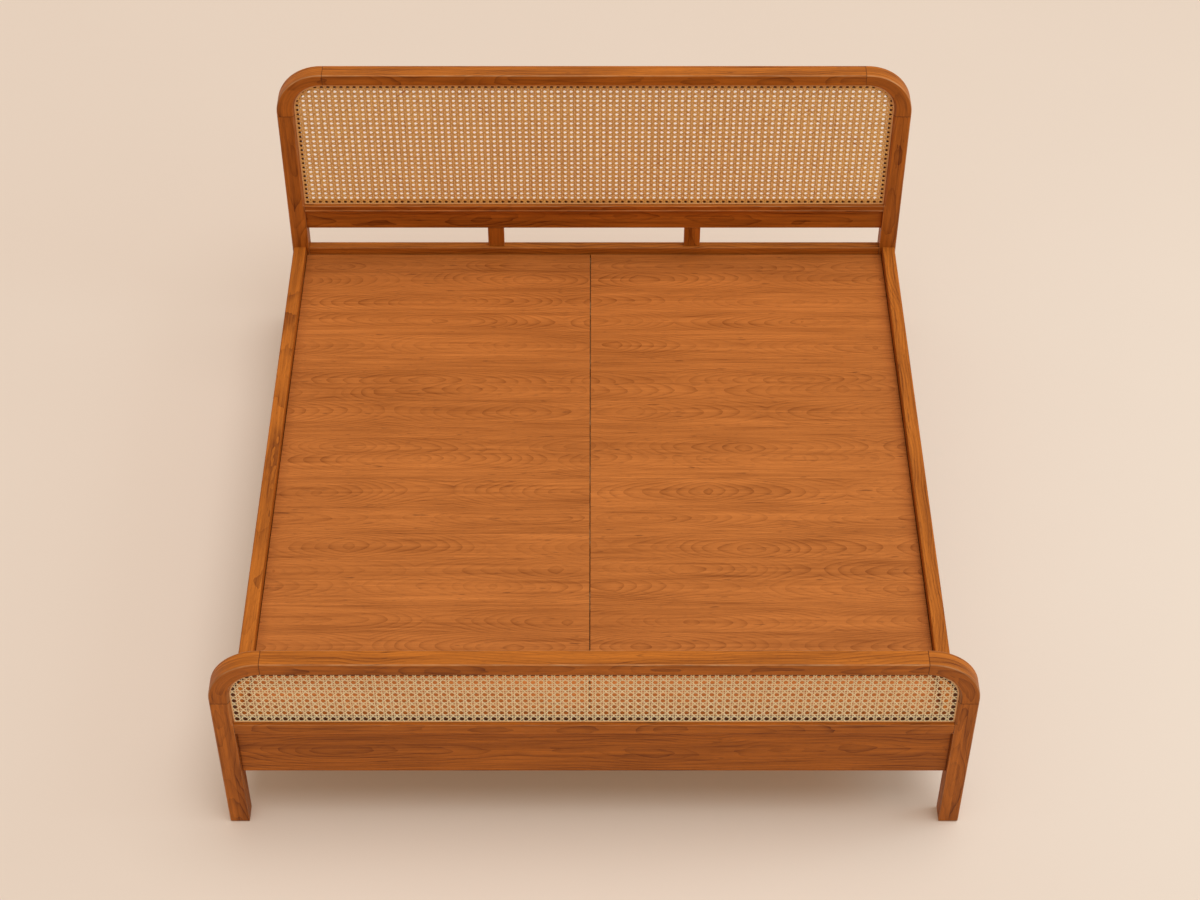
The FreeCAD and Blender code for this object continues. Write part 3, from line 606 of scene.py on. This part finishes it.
# A section point: 0 from the outer face or 1 from the inner face, how far, how deep, edge share
ROUND_STEPS = 4
INNER_ROUND_STEPS = 3
# How far the chamfer's corners take the paler edge colour, which is partly a painted highlight.
CHAMFER_EDGE_SHARE = 0.6


def quarter(side, depth_from, radius, steps, from_inner, at_back, reverse):
    """A quarter round at one corner of a section, as (from_inner, away, deep, edge)."""
    points = []
    for step in range(steps + 1):
        turn = math.pi / 2 * step / steps
        away = radius - radius * math.sin(turn)
        deep = radius - radius * math.cos(turn)
        place = depth_from + (-deep if at_back else deep)
        points.append((from_inner, side * away, place, math.sin(2 * turn)))
    return points[::-1] if reverse else points


def board_section(depth, radii, chamfer=None, steps=ROUND_STEPS):
    """The section of a board: outer front, outer back, inner back and inner front corners, in order.
    A chamfer (width, depth) takes the place of the inner front corner."""
    outer_front, outer_back, inner_back, inner_front = radii
    ring = quarter(1, 0.0, outer_front, steps, 0, False, False)
    ring += quarter(1, depth, outer_back, steps, 0, True, True)
    ring += quarter(-1, depth, inner_back, INNER_ROUND_STEPS, 1, True, False)
    if chamfer:
        width, sink = chamfer
        ease = inner_front / math.hypot(width, sink)
        ring += [
            (1, 0.0, sink + inner_front, 0.0),
            (1, -width * ease, sink * (1 - ease), CHAMFER_EDGE_SHARE),
            (1, -width * (1 - ease), sink * ease, CHAMFER_EDGE_SHARE),
            (1, -width - inner_front, 0.0, 0.0),
        ]
    else:
        ring += quarter(-1, 0.0, inner_front, INNER_ROUND_STEPS, 1, False, True)
    return ring


Station = namedtuple("Station", "outer inner along section joint inset")


def sweep(stations, depth_axis, grain_start):
    """Points, faces and attributes of a board whose section is carried from station to station."""
    points, grain, edge, joint = [], [], [], []
    for station in stations:
        outer, inner = Vector(station.outer), Vector(station.inner)
        width = (inner - outer).length
        inward = (inner - outer).normalized()
        deepest = max(point[2] for point in station.section)
        for from_inner, away, deep, share in station.section:
            across = from_inner * width + away
            pull = station.inset
            across_pulled = pull + across * (width - 2 * pull) / width
            deep_pulled = pull + deep * (deepest - 2 * pull) / deepest
            points.append(outer + inward * across_pulled + depth_axis * deep_pulled)
            grain.append((station.along + grain_start, across - width / 2, deep))
            edge.append(share)
            joint.append(station.joint)
    rows, count = len(stations), len(stations[0].section)
    faces = [list(range(count))] + grid_faces(rows, count, closed_columns=True)
    faces.append(list(range((rows - 1) * count, rows * count)))
    return points, faces, {"grain": grain, "edge": edge, "joint": joint}


JOINT_SHADE = 0.0015
GROOVE_RUN = 1.2
SAME_STOP = 1e-6


def run_stations(pairs, section, shape, joints=(1.0, 1.0), fade=JOINT_SHADE):
    """Stations along pairs of outer and inner points, with a fine groove at each end.
    The joints say how much the stain darkens over the fade beside the start and the end: at glued seams a
    dark line, at the deck's edges beside the rails and at the apron's ends painted shade."""
    middles = [(Vector(outer) + Vector(inner)) / 2 for outer, inner in pairs]
    along = [0.0]
    for before, after in zip(middles, middles[1:]):
        along.append(along[-1] + (after - before).length)
    length = along[-1]
    groove = shape.joint_line
    run = groove * GROOVE_RUN
    stops = sorted({0.0, run, fade, length - fade, length - run, length, *along})
    kept = [stops[0]]
    for stop in stops[1:]:
        if stop - kept[-1] > SAME_STOP:
            kept.append(stop)
    stations = []
    for stop in kept:
        index = min(max(int(np.searchsorted(along, stop)) - 1, 0), len(along) - 2)
        share = (stop - along[index]) / max(along[index + 1] - along[index], 1e-9)
        outer = Vector(pairs[index][0]).lerp(Vector(pairs[index + 1][0]), share)
        inner = Vector(pairs[index][1]).lerp(Vector(pairs[index + 1][1]), share)
        near_start, near_end = stop < fade / 2, stop > length - fade / 2
        # Darkening at the ends: dark seams where pieces are glued, painted shade at the deck's rail edges and
        # the apron's ends.
        seam = joints[0] if near_start else joints[1] if near_end else 0.0
        at_end = stop in (kept[0], kept[-1])
        stations.append(Station(outer, inner, stop, section, seam, groove if at_end else 0.0))
    return stations


def mirrored(points):
    return [Vector((-point.x, point.y, point.z)) for point in points]


HEADWARD = Vector((0, 1, 0))
UPWARD = Vector((0, 0, 1))
LEFT_GRAIN_SHIFT = 23.7


def add_both_sides(name, board, built):
    """The right-hand piece of a board and its mirror image, with different grain."""
    points, faces, attributes = built
    for side, placed, shift in (("right", points, 0.0), ("left", mirrored(points), LEFT_GRAIN_SHIFT)):
        grain = [(along + shift, across, deep) for along, across, deep in attributes["grain"]]
        add_wood(f"{board.name}_{name}_{side}", (placed, faces, {**attributes, "grain": grain}))


def frame_sections(board, shape):
    """The plain section of the lower legs, and the chamfered one round the cane."""
    radii = (shape.edge_radius, shape.edge_radius, shape.soft_edge, shape.soft_edge)
    chamfer = (shape.chamfer_width, shape.chamfer_depth)
    return board_section(board.depth, radii), board_section(board.depth, radii, chamfer)


SILL_STEP = 0.0001
SEAM_RUN = 0.0022


def leg_stations(board, shape):
    plain, chamfered = frame_sections(board, shape)
    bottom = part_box(board.name + "_leg_right")[0].z
    ease, groove = shape.soft_edge, shape.joint_line
    places = (
        (bottom, plain, 0.0, ease),
        (bottom + ease, plain, 0.0, 0.0),
        (board.sill - SILL_STEP, plain, 0.0, 0.0),
        (board.sill + SILL_STEP, chamfered, 0.0, 0.0),
        (board.seam_z - SEAM_RUN, chamfered, 0.0, 0.0),
        (board.seam_z - groove * GROOVE_RUN, chamfered, 1.0, 0.0),
        (board.seam_z, chamfered, 1.0, groove),
    )
    return [
        Station((board.half, board.front, z), (board.opening_half, board.front, z), z, section, joint, inset)
        for z, section, joint, inset in places
    ]


def corner_pairs(board, steps=32):
    """Outer and inner points of the right-hand corner, from its seam on the leg to the top rail's."""
    outer_x, outer_z = board.half - CORNER_RADIUS, board.height - CORNER_RADIUS
    inner_x, inner_z = board.opening_half - OPENING_RADIUS, board.opening_top - OPENING_RADIUS
    y = board.front
    pairs = [((board.half, y, board.seam_z), (board.opening_half, y, board.seam_z))]
    for step in range(steps + 1):
        turn = math.pi / 2 * step / steps
        cosine, sine = math.cos(turn), math.sin(turn)
        pairs.append(
            (
                (outer_x + CORNER_RADIUS * cosine, y, outer_z + CORNER_RADIUS * sine),
                (inner_x + OPENING_RADIUS * cosine, y, inner_z + OPENING_RADIUS * sine),
            )
        )
    if outer_x - board.seam_x > 1e-4:
        pairs.append(((board.seam_x, y, board.height), (board.seam_x, y, board.opening_top)))
    return pairs


BAR_ROUND_STEPS = 3
# Points up the moulded front of the headboard's bead: how far below its top, how deep, edge share
BEAD_MOULDING = (
    (0.0200, 0.0000, 0.7),
    (0.0188, 0.0032, 0.0),
    (0.0168, 0.0036, 0.0),
    (0.0150, 0.0024, 0.0),
    (0.0105, 0.0018, 0.0),
    (0.0060, 0.0007, 0.0),
)


def bar(low, high, upright, radii, grain_start, shape, moulding=(), line=JOINT_SHADE):
    """A straight rounded board between two corners. The radii are those of its top front, top back,
    bottom back and bottom front edges, or the same round an upright board."""
    if upright:
        pairs = [((high.x, low.y, z), (low.x, low.y, z)) for z in (low.z, high.z)]
    else:
        pairs = [((x, low.y, high.z), (x, low.y, low.z)) for x in (low.x, high.x)]
    section = board_section(high.y - low.y, radii, steps=BAR_ROUND_STEPS)
    section += [(0, *point) for point in moulding]
    return sweep(run_stations(pairs, section, shape, fade=line), HEADWARD, grain_start)


class OBJECT_OT_cane_bed_curved_frames(Operator):
    """Legs, curved corners and top rails of the footboard and the headboard"""

    bl_idname = "cane_bed.curved_frames"
    bl_label = "Curved frames"

    def execute(self, context):
        shape = context.scene.cane_bed_shape
        for number, board in enumerate((FOOT, HEAD)):
            chamfered = frame_sections(board, shape)[1]
            start = 5.3 * number
            add_both_sides("leg", board, sweep(leg_stations(board, shape), HEADWARD, start))
            corner = run_stations(corner_pairs(board), chamfered, shape)
            add_both_sides("corner", board, sweep(corner, HEADWARD, start + 2.1))
            ends = [
                ((x, board.front, board.height), (x, board.front, board.opening_top))
                for x in (-board.seam_x, board.seam_x)
            ]
            rail = sweep(run_stations(ends, chamfered, shape), HEADWARD, start + 3.2)
            add_wood(board.name + "_top_rail", rail)
        return {"FINISHED"}


BEAD_RADIUS = 0.003
# The apron's ends darken over a wider band than other seams: a dark seam and painted shade where the legs
# stand proud of it.
APRON_PAINTED_SHADE = 0.006


class OBJECT_OT_cane_bed_rails(Operator):
    """The rails under both cane panels, the apron and the cross rail"""

    bl_idname = "cane_bed.rails"
    bl_label = "Rails and apron"

    def execute(self, context):
        shape = context.scene.cane_bed_shape
        soft, fine = shape.soft_edge, shape.soft_edge * 0.6
        rounds = {
            "foot_bead_rail": (soft, fine, fine, soft),
            "foot_apron": (fine, fine, soft, soft),
            "head_bead_rail": (BEAD_RADIUS, fine, fine, BEAD_RADIUS),
            "head_lower_rail": (fine, fine, soft, soft),
            "head_cross_rail": (soft, soft, fine, fine),
        }
        for number, (node, radii) in enumerate(rounds.items()):
            low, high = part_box(node)
            reach = (FOOT if node.startswith("foot") else HEAD).opening_half
            corners = (Vector((-reach, low.y, low.z)), Vector((reach, high.y, high.z)))
            moulding = BEAD_MOULDING if node == "head_bead_rail" else ()
            line = APRON_PAINTED_SHADE if node == "foot_apron" else JOINT_SHADE
            add_wood(node, bar(*corners, False, radii, 9.0 + 4.7 * number, shape, moulding, line))
        return {"FINISHED"}


class OBJECT_OT_cane_bed_posts(Operator):
    """The two short posts under the headboard"""

    bl_idname = "cane_bed.posts"
    bl_label = "Posts"

    def execute(self, context):
        shape = context.scene.cane_bed_shape
        bottom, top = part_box("head_cross_rail")[1].z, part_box("head_lower_rail")[0].z
        for number, node in enumerate(("head_post_left", "head_post_right")):
            low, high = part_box(node)
            corners = (Vector((low.x, low.y, bottom)), Vector((high.x, high.y, top)))
            add_wood(node, bar(*corners, True, (shape.soft_edge,) * 4, 40.0 + number, shape))
        return {"FINISHED"}


# Painted shade on each deck board, darkest at its edge beside a side rail and fading out over a few
# centimetres, where the rail would shade the deck.
DECK_BOARDS = (
    ("deck_board_left", "deck_left", (0.25, 0.0)),
    ("deck_board_right", "deck_right", (0.0, 0.25)),
)
DECK_RADIUS = 0.001
DECK_PAINTED_SHADE_WIDTH = 0.03


class OBJECT_OT_cane_bed_deck(Operator):
    """The two veneered deck boards, each on its own body"""

    bl_idname = "cane_bed.deck"
    bl_label = "Deck boards"

    def execute(self, context):
        shape = context.scene.cane_bed_shape
        for number, (node, body, shade) in enumerate(DECK_BOARDS):
            low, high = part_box(node)
            section = board_section(high.z - low.z, (DECK_RADIUS,) * 4, steps=BAR_ROUND_STEPS)
            pairs = [((x, low.y, low.z), (x, high.y, low.z)) for x in (low.x, high.x)]
            built = sweep(run_stations(pairs, section, shape, shade, DECK_PAINTED_SHADE_WIDTH), UPWARD, 60.0 + 9.0 * number)
            add_wood(node, built, "veneer", "deck_veneer", "_veneer", body)
        return {"FINISHED"}


# The cane panels

STRAND_SECTION = np.array([(-0.5, -0.5), (-0.37, 0.15), (0.0, 0.5), (0.37, 0.15), (0.5, -0.5)])
OVER_DIAGONAL = 1.05
DIAGONAL_BEARING = 0.2
STRAND_INSET = 0.0028
STRAND_JITTER = 0.00018
STRAND_END = 1e-4
SHEET_MIDDLE = 0.001
GRAIN_RANGE = 20
SEARCH = np.linspace(-2.5, 2.5, 4001)


def inside_opening(board, x, z, inset):
    """Whether points lie inside the opening of a board, drawn in by an inset."""
    past_x = np.maximum(np.abs(x) - (board.opening_half - OPENING_RADIUS), 0.0)
    past_z = np.maximum(z - (board.opening_top - OPENING_RADIUS), 0.0)
    return (np.hypot(past_x, past_z) < OPENING_RADIUS - inset) & (z > board.sill + inset)


def inside_span(board, start, direction, inset):
    """How far along a line, from and to, it lies inside the opening. The opening has no hollows."""
    x, z = start[0] + direction[0] * SEARCH, start[1] + direction[1] * SEARCH
    inside = inside_opening(board, x, z, inset)
    if inside.sum() < 3:
        return None
    return SEARCH[inside][0], SEARCH[inside][-1]


class Strands:
    """Collects the strands of one piece of the weave."""

    def __init__(self, board, width, thickness, random):
        self.board, self.width, self.thickness, self.random = board, width, thickness, random
        self.points, self.faces, self.grain, self.tone = [], [], [], []
        self.count = 0

    def add(self, start, direction, places, heights):
        """A strand on the line from a start, with its height in thicknesses given at some places along it."""
        span = inside_span(self.board, start, direction, STRAND_INSET)
        if span is None:
            return
        kept = (places > span[0] + STRAND_END) & (places < span[1] - STRAND_END)
        along = np.concatenate([[span[0]], places[kept], [span[1]]])
        lift = np.interp(along, places, heights) * self.thickness
        across = np.array([-direction[1], direction[0]])
        middle = self.board.cane_front + SHEET_MIDDLE
        share = STRAND_SECTION[:, 0][None, :] * self.width
        rise = STRAND_SECTION[:, 1][None, :] * self.thickness
        x = start[0] + direction[0] * along[:, None] + across[0] * share
        z = start[1] + direction[1] * along[:, None] + across[1] * share
        y = middle - lift[:, None] - rise
        rows, sides = x.shape
        first, last = self.count, self.count + (rows - 1) * sides
        self.faces += grid_faces(rows, sides, closed_columns=True, first=first)
        self.faces += [list(range(first, first + sides)), list(range(last, last + sides))]
        self.points.append(np.stack([x, y, z], axis=-1).reshape(-1, 3))
        shift = self.random.random() * GRAIN_RANGE
        flat = np.broadcast_to(along[:, None] + shift, x.shape).ravel()
        side = np.broadcast_to(share, x.shape).ravel()
        self.grain.append(np.stack([flat, side, np.full_like(flat, shift)], axis=-1))
        self.tone.append(np.full(rows * sides, self.random.random()))
        self.count += rows * sides

    def finish(self, set_name):
        """Makes the piece, which stands for the board's packed sheet with the other three sets."""
        node = self.board.name + "_cane"
        attributes = {"grain": np.concatenate(self.grain), "tone": np.concatenate(self.tone)}
        built = (np.concatenate(self.points), self.faces, attributes)
        add_piece(node + "_" + set_name, *built, material_called(node), "cane", [node])


def straight_strands(strands, positions, cells, pitch, origin, upright, order):
    """The pairs that run up or across, woven over and under each other."""
    spread = getattr(bpy.context.scene.cane_bed_weave, strands.board.name + "_spread")
    levels = np.arange(-1, cells + 2)
    for index in positions:
        for member in (0, 1):
            offset = (index + (spread if member else -spread)) * pitch[0 if upright else 1]
            offset += strands.random.normal() * STRAND_JITTER
            places, heights = [], []
            for level in levels:
                for other in (0, 1):
                    over = 0.5 if (member + other + order) % 2 == 0 else -0.5
                    places.append((level + (spread if other else -spread)) * pitch[1 if upright else 0])
                    heights.append(over)
                places.append((level + 0.5) * pitch[1 if upright else 0])
                heights.append(0.0)
            if upright:
                start, direction = (origin[0] + offset, origin[1]), (0.0, 1.0)
            else:
                start, direction = (origin[0], origin[1] + offset), (1.0, 0.0)
            strands.add(start, direction, np.array(places), np.array(heights))


def diagonal_strands(strands, cells, pitch, origin, rising):
    """Strands from corner to corner, over the upright pairs and under the level ones, or the other way."""
    columns, rows = cells
    step = math.hypot(*pitch)
    direction = (pitch[0] / step, (pitch[1] if rising else -pitch[1]) / step)
    for index in range(-rows - 1, columns + rows + 1):
        column = index + 0.5
        row = 0 if rising else rows
        start = (origin[0] + column * pitch[0], origin[1] + row * pitch[1])
        places, heights = [], []
        for half in range(-2 * rows - 4, 2 * rows + 5):
            # Half a cell further on, the strand is at an upright pair instead of a level one
            over_upright = half % 2 != 0
            lift = OVER_DIAGONAL if over_upright == rising else -OVER_DIAGONAL
            for place in (half / 2 - DIAGONAL_BEARING, half / 2 + DIAGONAL_BEARING):
                places.append(place * step)
                heights.append(lift)
        strands.add(start, direction, np.array(places), np.array(heights))


class OBJECT_OT_cane_bed_cane(Operator):
    """The woven cane of both panels: uprights, crossings and two sets of diagonals"""

    bl_idname = "cane_bed.cane"
    bl_label = "Woven cane"

    def execute(self, context):
        weave = context.scene.cane_bed_weave
        for board in (FOOT, HEAD):
            columns = round(getattr(weave, board.name + "_columns"))
            rows = round(getattr(weave, board.name + "_rows"))
            pitch = (2 * board.opening_half / columns, (board.opening_top - board.sill) / rows)
            origin = (-board.opening_half, board.sill)
            random = np.random.default_rng(SEED)

            def strands(kind):
                width = getattr(weave, board.name + "_" + kind) * pitch[0]
                return Strands(board, width, weave.strand_thickness, random)

            uprights, crossings = strands("strand"), strands("strand")
            rising, falling = strands("diagonal"), strands("diagonal")
            straight_strands(uprights, range(0, columns + 1), rows, pitch, origin, True, 0)
            straight_strands(crossings, range(0, rows + 1), columns, pitch, origin, False, 1)
            diagonal_strands(rising, (columns, rows), pitch, origin, True)
            diagonal_strands(falling, (columns, rows), pitch, origin, False)
            uprights.finish("uprights")
            crossings.finish("crossings")
            rising.finish("diagonals_rising")
            falling.finish("diagonals_falling")
        return {"FINISHED"}


ARC_STEPS = 18
SIDE_STEPS = 6


def opening_outline(board, inset):
    """Points round the opening drawn in by an inset, the same number for any inset."""
    half, top, bottom = board.opening_half - inset, board.opening_top - inset, board.sill + inset
    radius = OPENING_RADIUS - inset
    reach, shoulder = half - radius, top - radius

    def side(start, end):
        shares = (step / SIDE_STEPS for step in range(SIDE_STEPS))
        return [(start[0] + (end[0] - start[0]) * at, start[1] + (end[1] - start[1]) * at) for at in shares]

    def arc(middle, quarters):
        turns = (math.pi / 2 * (quarters + step / ARC_STEPS) for step in range(ARC_STEPS))
        return [(middle + radius * math.cos(turn), shoulder + radius * math.sin(turn)) for turn in turns]

    points = side((-half, bottom), (half, bottom)) + side((half, bottom), (half, shoulder))
    points += arc(reach, 0) + side((reach, top), (-reach, top))
    return points + arc(-reach, 1) + side((-half, shoulder), (-half, bottom))


REED_CROWN = 0.0011
REED_TONE = 0.4
# How far across the reed, and how far below its crown as a share of the crown's height
REED_PROFILE = ((0.0, 1.0), (0.15, 0.45), (0.38, 0.06))


class OBJECT_OT_cane_bed_splines(Operator):
    """The reed splines pressed in round the cane"""

    bl_idname = "cane_bed.splines"
    bl_label = "Reed splines"

    def execute(self, context):
        for board in (FOOT, HEAD):
            node = board.name + "_cane_spline"
            low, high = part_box(node)
            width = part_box(board.name + "_cane")[0].x - low.x
            profile = [(0.0, high.y)]
            profile += [(share, low.y + REED_CROWN * drop) for share, drop in REED_PROFILE]
            profile += [(1 - share, y) for share, y in reversed(profile)]
            rings = [opening_outline(board, share * width) for share, _ in profile]
            points, grain = [], []
            along = 0.0
            for place in range(len(rings[0])):
                for ring, (share, y) in zip(rings, profile):
                    points.append((ring[place][0], y, ring[place][1]))
                    grain.append((along, share * width, 0.0))
                along += math.dist(rings[0][place], rings[0][(place + 1) % len(rings[0])])
            faces = grid_faces(len(rings[0]), len(profile), closed_rows=True, closed_columns=True)
            attributes = {"grain": grain, "tone": np.full(len(points), REED_TONE)}
            add_piece(node + "_reed", points, faces, attributes, material_called("reed"), "reed", [node])
        return {"FINISHED"}


# Packed nodes that keep their own shape

def finish_nodes(names, key):
    """Gives packed nodes a better material."""
    for name in names:
        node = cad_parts[name]
        if not node.material_slots:
            node.data.materials.append(material_called(key))
        for place in node.material_slots:
            place.material = material_called(key)


class OBJECT_OT_cane_bed_side_rails(Operator):
    """Finish of the two side rails"""

    bl_idname = "cane_bed.side_rails"
    bl_label = "Side rails"

    def execute(self, context):
        finish_nodes(["side_rail_left", "side_rail_right"], "stained_along_bed")
        return {"FINISHED"}


class OBJECT_OT_cane_bed_supports(Operator):
    """Finish of the slats, cleats, beam, centre legs, dowels and cane backings"""

    bl_idname = "cane_bed.supports"
    bl_label = "Slats and supports"

    def execute(self, context):
        slats = [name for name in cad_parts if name.startswith("slat_") and name != "slat_screws"]
        legs = [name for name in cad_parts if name.startswith("centre_leg_") and name[-1].isdigit()]
        across = ["foot_end_cleat", "head_end_cleat", "foot_dowels", "head_dowels"]
        finish_nodes(slats + across, "plain_across_bed")
        finish_nodes(["side_cleat_left", "side_cleat_right", "centre_beam"], "plain_along_bed")
        finish_nodes(legs, "plain_upright")
        # The frames behind the cane take a dark stain that paints the shade behind it.
        finish_nodes(["foot_cane_backing", "head_cane_backing"], "backing")
        return {"FINISHED"}


class OBJECT_OT_cane_bed_hardware(Operator):
    """Finish of the screws, bolts, washers, nuts, plates and hangers"""

    bl_idname = "cane_bed.hardware"
    bl_label = "Hardware"

    def execute(self, context):
        screws = [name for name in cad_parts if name.endswith("_screws")]
        finish_nodes(screws + ["rail_bolts", "rail_washers", "rail_nuts"], "zinc")
        finish_nodes(["beam_hangers", "centre_leg_plates"], "black")
        return {"FINISHED"}


class OBJECT_OT_cane_bed_glides(Operator):
    """Finish of the pads under the legs"""

    bl_idname = "cane_bed.glides"
    bl_label = "Glides"

    def execute(self, context):
        finish_nodes(["corner_glides", "centre_glides"], "pad")
        return {"FINISHED"}


FLOOR_REACH = 60.0
FLOOR_STEPS = 24
LIGHTS_AIM = Vector((0.0, 0.0, 0.3))


class OBJECT_OT_cane_bed_stage(Operator):
    """Plain pale floor, soft light and the camera"""

    bl_idname = "cane_bed.stage"
    bl_label = "Stage"

    def execute(self, context):
        scene, studio = context.scene, context.scene.cane_bed_studio
        self.add_floor(studio)
        self.add_light(studio)
        self.add_sky(scene, studio)
        self.add_camera(scene, studio)
        scene.view_settings.view_transform = "Standard"
        return {"FINISHED"}

    def add_floor(self, studio):
        """A level floor that reaches past the horizon of a low camera."""
        places = np.linspace(-FLOOR_REACH, FLOOR_REACH, FLOOR_STEPS + 1)
        points = [(x, y, 0.0) for y in places for x in places]
        mesh = bpy.data.meshes.new("Floor")
        mesh.from_pydata(points, [], grid_faces(len(places), len(places)))
        mesh.materials.append(floor_material(studio))
        floor = bpy.data.objects.new("Floor", mesh)
        bpy.context.scene.collection.objects.link(floor)

    def add_light(self, studio):
        """A broad soft light from overhead and a weaker, cooler lamp on the right."""
        overhead = bpy.data.lights.new("Overhead light", "SUN")
        overhead.energy, overhead.angle = studio.overhead, math.radians(48)
        overhead.color = (0.93, 0.975, 1.0)
        side = bpy.data.lights.new("Side light", "AREA")
        side.shape, side.size, side.energy = "DISK", 2.6, studio.side_power
        side.color = (0.62, 0.88, 1.0)
        for lamp, place in ((overhead, (0.9, -0.28, 5.0)), (side, (4.8, -0.6, 3.4))):
            light = bpy.data.objects.new(lamp.name, lamp)
            light.location = place
            light.rotation_euler = (LIGHTS_AIM - light.location).to_track_quat("-Z", "Y").to_euler()
            bpy.context.scene.collection.objects.link(light)

    def add_sky(self, scene, studio):
        """Level light from all round. The camera, gloss and glass see the backdrop's colour instead."""
        world = bpy.data.worlds.new("Studio")
        world.use_nodes = True
        w = Wiring(world.node_tree)
        nodes = world.node_tree.nodes
        soft = nodes["Background"]
        soft.inputs["Color"].default_value = (1.0, 0.91, 0.80, 1.0)
        soft.inputs["Strength"].default_value = studio.sky
        shown = w.node("ShaderNodeBackground", {"Color": tuple(studio.backdrop)})
        shaders = {0: seen_directly(w), 1: soft.outputs[0], 2: shown.outputs[0]}
        w.feed(nodes["World Output"].inputs["Surface"], w.node("ShaderNodeMixShader", shaders).outputs[0])
        scene.world = world

    def add_camera(self, scene, studio):
        lens = bpy.data.cameras.new("Camera")
        lens.lens, lens.sensor_width, lens.shift_x = studio.lens, 36.0, 0.0049
        lens.clip_end = 200.0
        camera = bpy.data.objects.new("Camera", lens)
        camera.location = (0.0, FOOT.front - studio.camera_back, studio.camera_height)
        camera.rotation_euler = (math.pi / 2 - studio.camera_down, 0.0, 0.0)
        bpy.context.scene.collection.objects.link(camera)
        scene.camera = camera


class VIEW3D_PT_cane_bed(Panel):
    """Lists the bed's pieces and what can be changed"""

    bl_label = "Cane Bed"
    bl_idname = "VIEW3D_PT_cane_bed"
    bl_space_type = "VIEW_3D"
    bl_region_type = "UI"
    bl_category = "Cane Bed"

    def draw(self, context):
        for pointer, group in PROPERTY_GROUPS.items():
            box = self.layout.box()
            box.label(text=group.__doc__)
            for name in group.__annotations__:
                box.prop(getattr(context.scene, pointer), name)
        for operator in OPERATORS:
            self.layout.operator(operator.bl_idname)


PROPERTY_GROUPS = {
    "cane_bed_wood": CaneBedWood,
    "cane_bed_shape": CaneBedShape,
    "cane_bed_weave": CaneBedWeave,
    "cane_bed_studio": CaneBedStudio,
}
OPERATORS = (
    OBJECT_OT_cane_bed_curved_frames,
    OBJECT_OT_cane_bed_rails,
    OBJECT_OT_cane_bed_posts,
    OBJECT_OT_cane_bed_deck,
    OBJECT_OT_cane_bed_cane,
    OBJECT_OT_cane_bed_splines,
    OBJECT_OT_cane_bed_side_rails,
    OBJECT_OT_cane_bed_supports,
    OBJECT_OT_cane_bed_hardware,
    OBJECT_OT_cane_bed_glides,
    OBJECT_OT_cane_bed_stage,
)


def register():
    for kind in (*PROPERTY_GROUPS.values(), *OPERATORS, VIEW3D_PT_cane_bed):
        bpy.utils.register_class(kind)
    for pointer, group in PROPERTY_GROUPS.items():
        setattr(bpy.types.Scene, pointer, PointerProperty(type=group))


def unregister():
    for pointer in PROPERTY_GROUPS:
        delattr(bpy.types.Scene, pointer)
    for kind in (VIEW3D_PT_cane_bed, *OPERATORS, *PROPERTY_GROUPS.values()):
        bpy.utils.unregister_class(kind)


def main():
    register()
    bpy.ops.cane_bed.curved_frames()
    bpy.ops.cane_bed.rails()
    bpy.ops.cane_bed.posts()
    bpy.ops.cane_bed.deck()
    bpy.ops.cane_bed.cane()
    bpy.ops.cane_bed.splines()
    bpy.ops.cane_bed.side_rails()
    bpy.ops.cane_bed.supports()
    bpy.ops.cane_bed.hardware()
    bpy.ops.cane_bed.glides()
    bpy.ops.cane_bed.stage()


if __name__ == "__main__":
    main()
